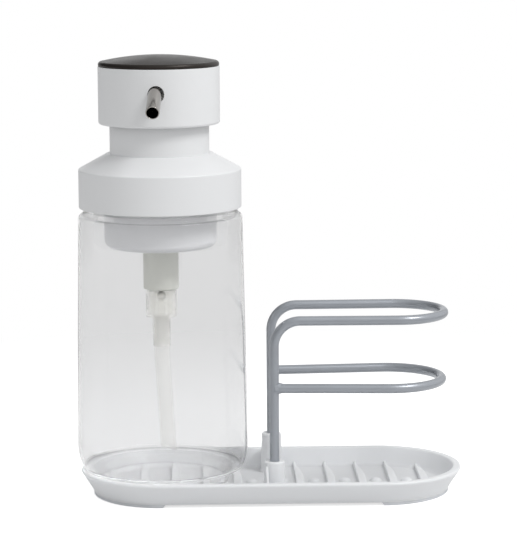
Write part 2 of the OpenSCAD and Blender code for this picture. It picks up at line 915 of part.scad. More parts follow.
module pump_spring() {
    steps = spring_turns * spring_rings;
    n = spring_sides;
    points = [
        for (i = [0 : steps], j = [0 : n - 1])
            let (a = 360 * i / spring_rings, b = 360 * j / n)
            spring_at(i) + spring_wire_r * [cos(b) * cos(a), cos(b) * sin(a), sin(b)]
    ];
    sides = [
        for (i = [0 : steps - 1], j = [0 : n - 1])
            let (a = n * i + j, b = n * i + (j + 1) % n)
            each [[a, b, b + n], [a, b + n, a + n]]
    ];
    low = [for (j = [1 : n - 2]) [0, j + 1, j]];
    high = [for (j = [1 : n - 2]) [n * steps, n * steps + j, n * steps + j + 1]];
    echo(spring_least_gap = spring_gap());
    color("silver") polyhedron(points, concat(sides, low, high), convexity = 10);
}

module pump_stem() {
    color("ivory")
        lathe([
            [stem_bore_r, stem_z],
            [piston_r, stem_z],
            [piston_r, piston_z],
            [stem_r, piston_z],
            [stem_r, stem_top_z],
            [stem_bore_r, stem_top_z]
        ]);
}

module piston() {
    bore = stem_r + press_gap;
    color("ivory")
        lathe([
            [bore, piston_z],
            [piston_r, piston_z],
            [piston_r, piston_z + piston_land],
            [piston_r - groove_depth, piston_z + piston_land],
            [piston_r - groove_depth, piston_z + piston_land + piston_groove],
            [piston_r, piston_z + piston_land + piston_groove],
            [piston_r, piston_top_z],
            [bore, piston_top_z]
        ]);
}

module piston_seal() {
    low = piston_z + piston_land + lip_gap;
    high = piston_z + piston_land + piston_groove - lip_gap;
    lip_r = cyl_in_r - run_gap;
    color("dimgray")
        lathe([
            [piston_r - groove_depth + press_gap, low],
            [lip_r, low],
            [lip_r, low + lip_t],
            [lip_r - lip_waist, low + lip_t + lip_waist],
            [lip_r - lip_waist, high - lip_t - lip_waist],
            [lip_r, high - lip_t],
            [lip_r, high],
            [piston_r - groove_depth + press_gap, high]
        ]);
}

// Places things along the spout: its children run out along +Z from the spout's root
module on_spout() {
    rotate([0, 0, spout_turn])
        translate([0, -head_r, spout_z])
            rotate([90 + spout_slope, 0, 0]) children();
}
spout_in = (head_r - core_r - spout_root_gap + core_arm / 3) / cos(spout_slope);
spout_out = spout_reach / cos(spout_slope);

module nozzle_core() {
    arm_in = (head_r - core_r - core_arm) / cos(spout_slope);
    color("whitesmoke")
        difference() {
            union() {
                translate([0, 0, core_z]) cylinder(r = core_r, h = core_len);
                on_spout()
                    translate([0, 0, -head_r / cos(spout_slope)])
                        cylinder(r = spout_r + core_wall, h = head_r / cos(spout_slope) - arm_in);
            }
            translate([0, 0, core_z - cut]) cylinder(r = stem_r + run_gap, h = core_socket + cut);
            translate([0, 0, core_z]) cylinder(r = core_duct_r, h = core_len - core_duct_top);
            on_spout() translate([0, 0, -spout_in]) cylinder(r = spout_r + press_gap, h = head_r);
            on_spout()
                translate([0, 0, -head_r / cos(spout_slope)])
                    cylinder(r = core_duct_r, h = head_r / cos(spout_slope));
            translate([-head_r, -head_r, plate_z]) cube([2 * head_r, 2 * head_r, head_r]);
        }
}

module spout_tube() {
    color("silver")
        on_spout()
            translate([0, 0, -spout_in])
                difference() {
                    cylinder(r = spout_r, h = spout_in + spout_out);
                    translate([0, 0, -cut]) cylinder(r = spout_r - spout_wall, h = spout_in + spout_out + 2 * cut);
                }
}

module head_shell() {
    color("white")
        difference() {
            lathe([
                [head_in_r, head_z],
                [head_r, head_z, head_round],
                [head_r, head_top_z],
                [head_in_r, head_top_z],
                [head_in_r, plate_z],
                [head_in_r - shelf_w, plate_z],
                [head_in_r - shelf_w, plate_z - shelf_h],
                [head_in_r, plate_z - shelf_h]
            ]);
            rotate([0, 0, shell_turn])
                on_spout()
                    translate([0, 0, -spout_in / 2]) cylinder(r = spout_r + spout_hole_gap, h = spout_in);
        }
}

module cap_plate() {
    r = head_in_r - run_gap;
    color("whitesmoke")
        lathe([[0, plate_z], [r, plate_z], [r, plate_z + plate_h], [0, plate_z + plate_h]]);
}

// The dome is the top of a large ball that meets the rim at a small crease
module cap_pad() {
    r = head_r - cap_inset;
    rim_z = head_top_z + cap_rim_h;
    dome_edge = r - cap_round;
    ball = (dome_edge * dome_edge + cap_dome_h * cap_dome_h) / (2 * cap_dome_h);
    edge_angle = asin(dome_edge / ball);
    steps = ceil(edge_angle / (arc_step / 10));
    color([0.2, 0.19, 0.19])
        lathe(concat(
            [
                [0, plate_z + plate_h],
                [head_in_r - run_gap - cap_crease, plate_z + plate_h],
                [head_in_r - run_gap - cap_crease, head_top_z],
                [r, head_top_z, cap_round / 2],
                [r, rim_z, cap_round]
            ],
            [
                for (i = [0 : steps])
                    let (a = edge_angle * (1 - i / steps))
                    [ball * sin(a), rim_z + cap_dome_h - ball + ball * cos(a)]
            ]
        ));
}

tray();
left_foot();
right_foot();
upper_wire();
lower_loop();
weld_beads();
bottle();
neck_gasket();
thread_ring();
collar();
neck_sleeve();
guide_bush();
pump_cup();
pump_cylinder();
cylinder_cap();
valve_housing();
inlet_ball();
dip_tube();
pump_spring();
pump_stem();
piston();
piston_seal();
nozzle_core();
spout_tube();
head_shell();
cap_plate();
cap_pad();
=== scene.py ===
"""Dresses the soap pump caddy: tray, feet, wire holder, clear bottle and pump, each as its own piece.

Lengths are metres. The origin lies under the bottle's axis on the counter, the sponge bay runs
along +X and the spout points to -Y. Every new piece is a surface worked out as whole arrays.
"""

import json
import math

import bmesh
import bpy
import numpy as np
from mathutils import Matrix, Vector

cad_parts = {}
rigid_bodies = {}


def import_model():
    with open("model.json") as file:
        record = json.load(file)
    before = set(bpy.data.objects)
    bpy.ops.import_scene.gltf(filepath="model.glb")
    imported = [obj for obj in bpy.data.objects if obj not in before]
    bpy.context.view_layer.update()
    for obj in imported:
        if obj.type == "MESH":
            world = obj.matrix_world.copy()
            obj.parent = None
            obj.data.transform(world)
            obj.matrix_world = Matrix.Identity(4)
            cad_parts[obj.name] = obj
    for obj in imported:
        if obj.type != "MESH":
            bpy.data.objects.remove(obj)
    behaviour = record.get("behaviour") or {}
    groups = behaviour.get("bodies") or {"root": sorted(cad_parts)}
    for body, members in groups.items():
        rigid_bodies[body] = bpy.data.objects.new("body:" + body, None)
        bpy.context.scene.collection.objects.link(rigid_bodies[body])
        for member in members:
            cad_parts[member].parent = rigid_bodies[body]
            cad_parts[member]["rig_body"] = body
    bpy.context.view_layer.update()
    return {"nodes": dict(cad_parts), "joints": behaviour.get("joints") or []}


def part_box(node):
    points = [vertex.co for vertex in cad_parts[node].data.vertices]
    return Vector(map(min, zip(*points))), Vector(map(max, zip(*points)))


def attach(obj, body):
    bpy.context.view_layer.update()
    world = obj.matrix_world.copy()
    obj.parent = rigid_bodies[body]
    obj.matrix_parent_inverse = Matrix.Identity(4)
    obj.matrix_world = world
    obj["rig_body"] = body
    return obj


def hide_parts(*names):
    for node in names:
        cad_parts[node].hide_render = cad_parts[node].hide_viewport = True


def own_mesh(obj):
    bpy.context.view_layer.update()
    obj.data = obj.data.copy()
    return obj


bl_info = {
    "name": "Soap pump caddy",
    "version": (1, 0, 0),
    "blender": (4, 5, 0),
    "location": "View3D > Sidebar > Caddy",
    "description": "Builds the dressed pieces of a soap pump caddy around its frame",
    "category": "Object",
}

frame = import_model()
MM = 0.001

# Sides of a turned piece, and the largest step along a rounded corner
TURN_STEPS = 192
ARC_STEP = math.radians(9)
# Points closer than this are one point, as at a pole or a seam
WELD = 1e-7
# How deep a joined form reaches into what carries it, and the hair's breadth between close faces
SINK = 0.8 * MM
HAIR = 0.02 * MM
# Roundings of moulded edges, from the crispest to the fullest
CRISP = 0.12 * MM
FINE = 0.2 * MM
EDGE = 0.3 * MM
MILD = 0.4 * MM
EASY = 0.5 * MM
SOFT = 0.6 * MM
ROUND = 0.8 * MM
FULL = 1.2 * MM
# Spacing of the points that carry a thread
THREAD_ROW = 0.3 * MM
# How far ribs and their bulges end before the tray's wall, and a cutter runs past what it cuts
MARGIN = 3 * MM
OVERRUN = 1 * MM
# The lens's focal length as a share of the picture's longer side
FOCAL = 2340.45 / 541


def reach(node):
    """Radius of a turned node about the bottle's axis, with its lowest and highest levels"""
    low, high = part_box(node)
    return high.x, low.z, high.z


BOTTLE_R, BOTTLE_Z, MOUTH_Z = reach("bottle")
COLLAR_R, _, COLLAR_TOP = reach("collar")
FLANGE_R, FLANGE_Z, SLEEVE_TOP = reach("neck_sleeve")
HEAD_R, HEAD_Z, HEAD_TOP = reach("head_shell")
CAP_R, CAP_Z, CAP_TOP = reach("cap_pad")
TRAY_LOW, TRAY_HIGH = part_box("tray")
TRAY_R = TRAY_HIGH.y
TRAY_SPAN = TRAY_HIGH.x - TRAY_LOW.x - 2 * TRAY_R
FOOT_H = TRAY_LOW.z
FOOT_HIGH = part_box("left_foot")[1]
UPPER_LOW, UPPER_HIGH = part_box("upper_wire")
LOWER_LOW, LOWER_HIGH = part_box("lower_loop")
WIRE_D = LOWER_HIGH.z - LOWER_LOW.z
WIRE_R = WIRE_D / 2
HOLDER_X = UPPER_LOW.x + WIRE_R


def number(name, description, value, **options):
    """A number that a user may change"""
    return bpy.props.FloatProperty(name=name, description=description, default=value, **options)


def length(name, description, millimetres):
    """A length, given in millimetres and held in metres"""
    return number(name, description, millimetres * MM, unit="LENGTH", precision=5)


def share(name, description, value):
    """A plain number from 0 to 1"""
    return number(name, description, value, min=0, max=1, subtype="FACTOR")


def angle(name, description, degrees):
    """An angle, given in degrees"""
    return number(name, description, math.radians(degrees), subtype="ANGLE")


def colour(name, description, value):
    """A colour in linear light"""
    return bpy.props.FloatVectorProperty(
        name=name, description=description, default=value, size=3, min=0, max=1, subtype="COLOR"
    )


class CaddyTray(bpy.types.PropertyGroup):
    """Sizes of the tray and its feet"""

    wall_h: length("Rim height", "Height of the rim above the counter", 12)
    rim_w: length("Rim width", "Width of the rim's top", 3.4)
    rim_round: length("Rim rounding", "Radius of the rim's edges", 1.15)
    lean: length("Wall lean", "How far the wall leans in from the rim to the floor", 5.5)
    kick: length("Kick", "Height of the upright band at the wall's foot", 0.8)
    floor: length("Floor", "Thickness of the floor", 2.2)
    fillet: length("Fillet", "Radius between the wall and the floor", 2.6)
    rib_pitch: length("Rib pitch", "Distance from one rib to the next", 14.65)
    rib_gap: length("First rib", "Distance from the legs to the next rib", 10.8)
    rib_t: length("Rib thickness", "Thickness of a rib at its top", 1.2)
    rib_h: length("Rib height", "Height of the ribs above the floor", 2.2)
    rib_bulge: length("Rib bulge", "How far a rib's side bulges at its middle", 2.6)
    rib_reach: length("Bulge reach", "Half the length of the bulge", 25)
    dome_r: length("Dome radius", "Radius of a drainage dome", 3.1)
    dome_h: length("Dome height", "Height of a drainage dome", 1.7)
    socket_r: length("Socket radius", "Radius of a leg socket at its top", 4.65)
    socket_front: length("Front socket", "Height of the front leg socket above the counter", 19.2)
    web_t: length("Web thickness", "Thickness of the web that ties a socket to the wall", 1.1)
    root: length("Root", "Radius where ribs, domes and sockets meet the floor", 0.7)
    foot_key: length("Foot key", "How far a foot's key is set in from its edge", 1.2)
    foot_round: length("Foot rounding", "Radius of a foot's lower edge", 0.35)
    foot_bevel: length("Foot bevel", "How much shorter a foot is at the counter than at its top", 1.1)


class CaddyHolder(bpy.types.PropertyGroup):
    """Sizes of the bent wires"""

    leg_y: length("Leg offset", "Distance from the tray's middle to a leg", 21.83)
    bend_r: length("Leg bend", "Radius of the bend at the top of each leg", 12)
    bead_len: length("Bead length", "How far a weld bead runs along the lower loop", 1.5)
    bead_h: length("Bead height", "How far a weld bead stands above the wire", 0.42)
    bead_lump: length("Bead unevenness", "Height of the lumps in a weld bead", 0.09)


class CaddyBottle(bpy.types.PropertyGroup):
    """Sizes of the clear bottle"""

    shoulder_z: length("Shoulder level", "Height of the shoulder above the counter", 132.5)
    shoulder_r: length("Shoulder radius", "Outer radius at the shoulder", 38.05)
    bead_r: length("Bead radius", "Outer radius of the bead between shoulder and collar", 35.9)
    bead_z: length("Bead level", "Height of that bead's top above the counter", 135.3)
    neck_r: length("Neck radius", "Outer radius of the neck", 31)
    mouth_r: length("Mouth radius", "Inner radius of the neck", 28.6)
    wall: length("Wall", "Thickness of the side", 1.0)
    heel_z: length("Floor level", "Height of the floor's underside above the counter", 12.5)
    floor: length("Floor", "Thickness of the floor", 1.2)
    heel_r: length("Heel radius", "Radius of the curve at the foot of the side", 27)
    heel_h: length("Heel height", "Height of that curve", 11.5)
    straight: length("Straight band", "Height of the upright band above the heel", 10)
    ring_r: length("Foot ring radius", "Outer radius of the foot ring where it rests", 30.25)
    ring_flare: length("Foot ring flare", "How much wider the foot ring is where it meets the heel", 3.9)
    ring_wall: length("Foot ring wall", "Wall of the foot ring", 1.1)
    thread_z: length("Thread start", "Height of the thread's start above the shoulder", 6)
    thread_h: length("Thread height", "Height of the thread ridge", 1)
    thread_pitch: length("Thread pitch", "Rise of the thread in one turn", 4)


class CaddyPump(bpy.types.PropertyGroup):
    """Sizes of the pump's shells, spout, dip tube and spring"""

    skirt_z: length("Skirt level", "Height of the collar's lower edge above the counter", 135.5)
    cone_h: length("Cone height", "Height of the collar's cone", 7.3)
    ledge: length("Ledge", "Width of the flat ledge around the neck sleeve", 1.5)
    sleeve_r: length("Sleeve radius", "Outer radius of the neck sleeve", 23)
    sleeve_wall: length("Sleeve wall", "Wall of the neck sleeve", 1.8)
    bush_r: length("Bush radius", "Outer radius of the guide bush", 6)
    head_wall: length("Head wall", "Wall of the head's casing", 1.85)
    spout_z: length("Spout level", "Height of the spout's root on the casing", 189.5)
    spout_r: length("Spout radius", "Outer radius of the spout", 3.15)
    spout_wall: length("Spout wall", "Wall of the spout", 0.45)
    spout_out: length("Spout reach", "Level distance from the casing to the spout's end", 18)
    spout_hole: length("Spout hole", "Radius of the hole around the spout", 3.75)
    cap_rim: length("Cap rim", "Height of the soft cap's rim above the casing", 2.3)
    cap_round: length("Cap rounding", "Radius of the soft cap's rim", 1.45)
    dip_wall: length("Dip tube wall", "Wall of the dip tube", 0.8)
    dip_bend: length("Dip tube bend", "Height over which the dip tube bends below its socket", 6)
    dip_slant: angle("Dip tube slant", "Slant of the dip tube below its bend", 3.4)
    dip_cut: angle("Dip tube cut", "Slant of the dip tube's lower end", 22)
    dip_short: length("Dip tube shortening", "How far the dip tube ends above its solid's end", 3.2)
    slope: angle("Spout slope", "Slope of the spout below level", 20)
    turn: angle("Spout turn", "Turn of the spout about the bottle's axis", -2.9)
    hole_turn: angle("Hole turn", "Turn of the hole from the spout", 0.9)
    spring_wire: length("Spring wire", "Radius of the spring's wire", 0.45)
    spring_turns: bpy.props.IntProperty(
        name="Spring turns", description="Turns of the return spring", default=11, min=1
    )


class CaddyFinish(bpy.types.PropertyGroup):
    """Colours and gloss, and where they change"""

    white: colour("White plastic", "Colour of the collar, sleeve and casing", (0.82, 0.827, 0.835))
    tray: colour("Tray plastic", "Colour of the tray", (0.81, 0.819, 0.832))
    foot: colour("Foot rubber", "Colour of the feet", (0.66, 0.675, 0.70))
    wire: colour("Wire coat", "Colour of the coating on the wire", (0.34, 0.36, 0.392))
    clear: colour("Clear plastic", "Colour that the bottle's wall lets through", (0.84, 0.841, 0.844))
    milky: colour("Milky plastic", "Colour of the pump cup", (0.75, 0.755, 0.77))
    warm: colour("Warm plastic", "Colour of the pump cylinder", (0.66, 0.665, 0.62))
    tube: colour("Tube plastic", "Colour of the dip tube and the valve", (0.98, 0.975, 0.945))
    ivory: colour("Ivory plastic", "Colour of the stem and the bushes", (0.78, 0.77, 0.72))
    cap: colour("Cap rubber", "Colour of the soft cap", (0.019, 0.0162, 0.0147))
    steel: colour("Steel", "Colour of the spout", (0.42, 0.40, 0.375))
    ball: colour("Ball steel", "Colour of the inlet ball", (0.9, 0.9, 0.89))
    gasket: colour("Gasket rubber", "Colour of the seals", (0.10, 0.10, 0.105))
    satin: share("Satin", "Roughness of the white plastic", 0.34)
    # Levels of the painted shade: the tray's upward faces are painted darker below the first and left
    # unshaded above the second
    painted_shade_low: length("Painted shade level", "Height below which the tray's upper faces are dull", 3.7)
    painted_shade_high: length("Painted shade end", "Height above which the tray's upper faces are clean", 4.7)
    foot_clear: length("Clear foot", "Radius within which the bottle is clearer", 36.0)
    foot_full: length("Full tone", "Radius from which the bottle has its full tone", 37.6)


class CaddyStage(bpy.types.PropertyGroup):
    """Camera and light"""

    azimuth: angle("Azimuth", "Direction of the camera, 0 from the front", -1.568)
    elevation: angle("Elevation", "Height of the camera above level", 8.883)
    roll: angle("Roll", "Turn of the camera about its view", -0.32)
    distance: length("Distance", "Distance of the camera from its target", 1091.95)
    target_x: length("Target X", "Place of the camera's target along the tray", 45.432)
    target_z: length("Target Z", "Height of the camera's target", 104.97)
    key: number("Key lamp", "Power of the lamp at the upper front right", 7.0, min=0, unit="POWER")
    key_side: length("Key size", "Side of that square lamp", 420)
    key_far: length("Key distance", "Distance of that lamp from the caddy's middle", 1300)
    bearing: angle("Key bearing", "Bearing of that lamp to the right of the front", 52)
    height: angle("Key height", "Height of that lamp above level", 50)
    lit: share("Bright side", "Strength of the surroundings on the bright side", 0.69)
    dim: share("Dim side", "Strength of the surroundings on the dim side", 0.61)
    mirror_dim: share("Mirrored dim side", "Strength of the dim side in reflections", 0.05)
    mirror_lit: share("Mirrored bright side", "Strength of the bright side in reflections", 0.95)
    floor_tone: colour("Floor tone", "Colour of the floor", (0.8, 0.8, 0.8))
    floor_seen: share("Floor to the camera", "Light added where the camera sees the floor", 0.66)
    floor_through: share("Floor through plastic", "Light added where the floor shows through", 0.44)
    floor_mirrored: share("Floor in reflections", "Light added where the floor is mirrored", 0.2)


GROUPS = {
    "caddy_tray": CaddyTray,
    "caddy_holder": CaddyHolder,
    "caddy_bottle": CaddyBottle,
    "caddy_pump": CaddyPump,
    "caddy_finish": CaddyFinish,
    "caddy_stage": CaddyStage,
}


# Outlines


def grid(*parts):
    """Points whose coordinates are these arrays, each spread to their common shape"""
    return np.stack(np.broadcast_arrays(*parts), axis=-1)


def corner_arc(before, corner, after, radius):
    """Points of the arc that touches both sides of a corner

    The centre lies on the corner's bisector, at the radius over the sine of half the corner.
    """
    u = (before - corner) / np.linalg.norm(before - corner)
    v = (after - corner) / np.linalg.norm(after - corner)
    half = math.acos(np.clip(u @ v, -1, 1)) / 2
    centre = corner + (u + v) / np.linalg.norm(u + v) * radius / math.sin(half)
    p, q = (corner + side * radius / math.tan(half) - centre for side in (u, v))
    start = math.atan2(p[1], p[0])
    turn = (math.atan2(q[1], q[0]) - start + math.pi) % (2 * math.pi) - math.pi
    steps = max(3, math.ceil(abs(turn) / ARC_STEP))
    a = start + turn * np.linspace(0, 1, steps + 1)
    return centre + radius * grid(np.cos(a), np.sin(a))


def rounded(*corners):
    """Outline through the corners: one given as (x, y, radius) becomes an arc"""
    flat = [np.array(c[:2], float) for c in corners]
    parts = []
    for i, c in enumerate(corners):
        if len(c) > 2:
            parts.append(corner_arc(flat[i - 1], flat[i], flat[(i + 1) % len(flat)], c[2]))
        else:
            parts.append(flat[i][None, :])
    return np.concatenate(parts)


# Surfaces: each is a pair of points and faces


def skin(points, wrap_rows=True, wrap_columns=True, capped=False):
    """Quads between neighbouring rows and columns of points, joined end to start where it wraps"""
    rows, columns = points.shape[:2]
    i = np.arange(rows if wrap_rows else rows - 1)[:, None]
    j = np.arange(columns if wrap_columns else columns - 1)[None, :]
    near, far = i * columns, (i + 1) % rows * columns
    left, right = j, (j + 1) % columns
    faces = grid(near + left, far + left, far + right, near + right).reshape(-1, 4).tolist()
    if capped:
        faces.append(list(range(columns)))
        faces.append(list(range(rows * columns - 1, (rows - 1) * columns - 1, -1)))
    return points.reshape(-1, 3), faces


def lathe(outline, closed=True, steps=TURN_STEPS, swell=None):
    """The outline (r, z) turned about the bottle's axis: x = r cos t, y = r sin t

    swell, where given, adds its value at (t, r, z) to the radius.
    """
    turn = np.linspace(0, 2 * math.pi, steps, endpoint=False)[:, None]
    r, z = outline[None, :, 0], outline[None, :, 1]
    if swell is not None:
        r = r + swell(turn, r, z)
    return skin(grid(r * np.cos(turn), r * np.sin(turn), z), True, closed)


def tube(path, heading, radius, sides=40, ends=None):
    """A round section carried along a path

    Each ring is spanned by the level direction across the heading and by the cross product of
    that direction with the path's own. ends takes the angles round a ring and gives how far the
    points of the first and of the last ring move along the path.
    """
    along = np.gradient(path, axis=0)
    along /= np.linalg.norm(along, axis=1, keepdims=True)
    side = grid(-np.sin(heading), np.cos(heading), 0.0)
    lift = np.cross(side, along)
    turn = np.linspace(0, 2 * math.pi, sides, endpoint=False)
    across, up = np.cos(turn)[:, None], np.sin(turn)[:, None]
    points = path[:, None] + radius * (across * side[:, None] + up * lift[:, None])
    if ends is not None:
        for ring, slide in zip((0, -1), ends(turn)):
            points[ring] += slide[:, None] * along[ring]
    return skin(points, False, True, capped=True)


def moved(surface, offset):
    """The surface shifted by an offset"""
    points, faces = surface
    return points + np.asarray(offset), faces


def mirrored(surface, axis, about=0.0):
    """The surface mirrored across the plane where that axis equals about, its faces turned to match"""
    points, faces = surface
    points = points.copy()
    points[:, axis] = 2 * about - points[:, axis]
    return points, [face[::-1] for face in faces]


def mesh_of(name, surfaces):
    """A mesh of several closed surfaces, with doubled points at seams and poles merged"""
    points, faces, start = [], [], 0
    for p, f in surfaces:
        points.append(p)
        faces += [[corner + start for corner in face] for face in f]
        start += len(p)
    mesh = bpy.data.meshes.new(name)
    mesh.from_pydata(np.concatenate(points), [], faces)
    work = bmesh.new()
    work.from_mesh(mesh)
    bmesh.ops.remove_doubles(work, verts=work.verts, dist=WELD)
    work.to_mesh(mesh)
    work.free()
    return mesh


def linked(name, data):
    """A new object of the scene that holds the data"""
    thing = bpy.data.objects.new(name, data)
    bpy.context.scene.collection.objects.link(thing)
    return thing


def object_of(name, surfaces):
    """An object of several closed surfaces, at the origin"""
    return linked(name, mesh_of(name, surfaces))


def combine(piece, surfaces, operation):
    """Joins surfaces to a piece or cuts them out of it, and keeps the result as its mesh"""
    tool = object_of(piece.name + "_tool", surfaces)
    step = piece.modifiers.new(operation.title(), "BOOLEAN")
    step.object = tool
    step.operation = operation
    step.solver = "MANIFOLD"
    bpy.context.view_layer.update()
    shaped = bpy.data.meshes.new_from_object(piece.evaluated_get(bpy.context.evaluated_depsgraph_get()))
    piece.modifiers.clear()
    old, piece.data = piece.data, shaped
    bpy.data.meshes.remove(old)
    bpy.data.objects.remove(tool)
    shaped.name = piece.name
    return piece


def dress(piece, finish, node, sharp=32):
    """Gives a piece its finish and smooth faces, and lets it stand for its node on that node's body

    Edges that turn by more than sharp degrees stay sharp.
    """
    piece.data.materials.clear()
    piece.data.materials.append(bpy.data.materials[finish])
    piece.data.polygons.foreach_set("use_smooth", np.ones(len(piece.data.polygons), bool))
    piece.data.set_sharp_from_angle(angle=math.radians(sharp))
    even = piece.modifiers.new("Even normals", "WEIGHTED_NORMAL")
    even.keep_sharp = True
    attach(piece, frame["nodes"][node]["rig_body"])
    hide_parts(node)
    return piece


def make(name, surfaces, finish, node, sharp=32):
    """A dressed piece of several closed surfaces"""
    return dress(object_of(name, surfaces), finish, node, sharp)


# Materials


class Link:
    """A socket of a finish that takes part in sums: each sum adds its Math node"""

    def __init__(self, finish, socket):
        self.finish = finish
        self.socket = socket

    def sum(self, operation, first, second):
        """Result of a Math node on two values"""
        return self.finish.add("ShaderNodeMath", {"operation": operation}, {0: first, 1: second})

    def __add__(self, other):
        return self.sum("ADD", self, other)

    def __radd__(self, other):
        return self.sum("ADD", other, self)

    def __sub__(self, other):
        return self.sum("SUBTRACT", self, other)

    def __rsub__(self, other):
        return self.sum("SUBTRACT", other, self)

    def __mul__(self, other):
        return self.sum("MULTIPLY", self, other)

    def __rmul__(self, other):
        return self.sum("MULTIPLY", other, self)


class Finish:
    """Node tree of one material or of the world"""

    def __init__(self, tree):
        self.tree = tree
        tree.nodes.clear()

    def add(self, kind, settings=None, inputs=None, output=0):
        """Adds a node with its settings and the values or links of its sockets, and returns one output"""
        node = self.tree.nodes.new(kind)
        for name, value in (settings or {}).items():
            setattr(node, name, value)
        for name, value in (inputs or {}).items():
            if isinstance(value, Link):
                self.tree.links.new(value.socket, node.inputs[name])
            else:
                node.inputs[name].default_value = value
        return Link(self, node.outputs[output]) if node.outputs else None

    def millimetres(self):
        """Place on the piece, in millimetres"""
        place = self.add("ShaderNodeTexCoord", output="Object")
        return self.add("ShaderNodeVectorMath", {"operation": "SCALE"}, {0: place, "Scale": 1 / MM})

    def vector(self, operation, first, second=(0, 0, 0), output=0):
        """Result of a Vector Math node"""
        settings = {"operation": operation}
        return self.add("ShaderNodeVectorMath", settings, {0: first, 1: second}, output)

    def part(self, vector, axis):
        """One coordinate of a vector"""
        return self.add("ShaderNodeSeparateXYZ", inputs={0: vector}, output=axis)

    def most(self, first, second):
        """The larger of two values"""
        return self.add("ShaderNodeMath", {"operation": "MAXIMUM"}, {0: first, 1: second})

    def ray(self, kind):
        """1 for light paths of one kind, else 0"""
        return self.add("ShaderNodeLightPath", output=f"Is {kind} Ray")

    def noise(self, place, scale, detail=2.0, roughness=0.5):
        """Smooth noise from 0 to 1 with about scale lumps in a millimetre"""
        inputs = {"Vector": place, "Scale": scale, "Detail": detail, "Roughness": roughness}
        return self.add("ShaderNodeTexNoise", inputs=inputs, output="Fac")

    def tones(self, amount, dark, light):
        """A colour between two tones, each three parts or a link, by an amount from 0 to 1"""
        dark, light = (tone if isinstance(tone, Link) else (*tone, 1) for tone in (dark, light))
        settings = {"data_type": "RGBA", "clamp_factor": True}
        return self.add("ShaderNodeMix", settings, {0: amount, 6: dark, 7: light}, output=2)

    def shades(self, amount, tone, low, high):
        """A tone times a factor that goes from low to high by an amount from 0 to 1"""
        return self.tones(amount, scaled(tone, low), scaled(tone, high))

    def gloss(self, slow, fine, middle, sway, speck):
        """Roughness about a middle: it sways with a slow noise and speckles with a fine one"""
        return self.grow(slow, 0.3, 0.7, middle - sway, middle + sway) + (fine - 0.5) * speck

    def grow(self, value, low, high, new_low=0.0, new_high=1.0):
        """A value carried from one range to another and held there"""
        inputs = {0: value, 1: low, 2: high, 3: new_low, 4: new_high}
        return self.add("ShaderNodeMapRange", {"clamp": True}, inputs)

    def bump(self, height, distance, strength=1.0, normal=None):
        """Normal of a surface raised by a height of 0 to 1 times the distance"""
        inputs = {"Height": height, "Distance": distance, "Strength": strength}
        if normal is not None:
            inputs["Normal"] = normal
        return self.add("ShaderNodeBump", inputs=inputs)

    def surface(self, **inputs):
        """The principled surface and its output"""
        named = {key.replace("_", " "): value for key, value in inputs.items()}
        shade = self.add("ShaderNodeBsdfPrincipled", inputs=named)
        self.add("ShaderNodeOutputMaterial", inputs={"Surface": shade})


def finish_of(name):
    """The finish that fills a new material"""
    material = bpy.data.materials.new(name)
    material.use_nodes = True
    return Finish(material.node_tree)


def scaled(tone, factor):
    """A tone made lighter or darker"""
    return tuple(min(1.0, part * factor) for part in tone)


def moulded(
    name, tone, roughness, grain=2.2, depth=0.006, drift=0.03, flow=(1, 1, 0.35), seep=0.0, painted_shade_levels=None
):
    """Moulded plastic: fine texture of the tool, slow drifts of tone and gloss, and faint flow lines

    Some light, the share seep, soaks in and comes out 2 mm away, so that thin walls glow. The
    levels given for the painted shade, in millimetres, paint surfaces that face up darker below the
    first, as the shade that falls on the floor between ribs, and leave them unshaded above the second.
    """
    f = finish_of(name)
    place = f.millimetres()
    cloud = f.noise(f.vector("MULTIPLY", place, flow), 0.035, 3.0)
    fine = f.noise(place, grain, 2.0, 0.6)
    sheen = f.noise(place, 0.11, 4.0)
    wave = f.noise(f.vector("MULTIPLY", place, flow), 0.05, 1.0)
    base = f.shades(cloud, tone, 1 - drift, 1 + drift)
    # Painted shade: low faces that look up are darkened to 0.9 of the tone, standing in for the shade on
    # the floor between the ribs
    if painted_shade_levels:
        up = f.part(f.add("ShaderNodeNewGeometry", output="Normal"), "Z")
        unshaded = f.most(f.grow(f.part(place, "Z"), *painted_shade_levels), f.grow(up, 0.3, 0.6, 1.0, 0.0))
        base = f.tones(unshaded, f.shades(cloud, tone, 0.9 - drift, 0.9 + drift), base)
    f.surface(
        Base_Color=base,
        Roughness=f.gloss(sheen, fine, roughness, 0.035, 0.05),
        IOR=1.49,
        Subsurface_Weight=seep,
        Subsurface_Radius=(1.0, 1.0, 1.0),
        Subsurface_Scale=2.0 * MM,
        Normal=f.bump(fine, depth * MM, 1.0, f.bump(wave, 0.12 * MM, 0.35)),
    )


def rubber(name, tone, roughness, grain=3.0, depth=0.02, ior=1.46, sheen=(1, 1, 1)):
    """Soft rubber or elastomer: matt, with a close grain and paler specks where it has been touched"""
    f = finish_of(name)
    place = f.millimetres()
    fine = f.noise(place, grain, 3.0, 0.65)
    cloud = f.noise(place, 0.09, 4.0, 0.6)
    f.surface(
        Base_Color=f.shades(f.grow(cloud, 0.35, 0.7), tone, 0.93, 1.09),
        Roughness=f.gloss(cloud, fine, roughness, 0.05, 0.1),
        IOR=ior,
        Specular_Tint=(*sheen, 1),
        Normal=f.bump(fine, depth * MM, 0.9),
    )


def coated_wire(tone):
    """Baked grey coat on wire: silvery flakes in the coat, and the orange peel of a sprayed powder"""
    f = finish_of("Coated wire")
    place = f.millimetres()
    peel = f.noise(place, 0.75, 2.0, 0.55)
    flake = f.noise(place, 7.0, 1.0)
    cloud = f.noise(place, 0.06, 3.0)
    f.surface(
        Base_Color=f.shades(0.7 * cloud + 0.3 * flake, tone, 0.9, 1.12),
        Metallic=0.45,
        Roughness=f.gloss(cloud, flake, 0.335, 0.035, 0.06),
        IOR=1.5,
        Coat_Weight=0.35,
        Coat_Roughness=0.22,
        Normal=f.bump(peel, 0.05 * MM, 0.6, f.bump(flake, 0.004 * MM, 0.5)),
    )


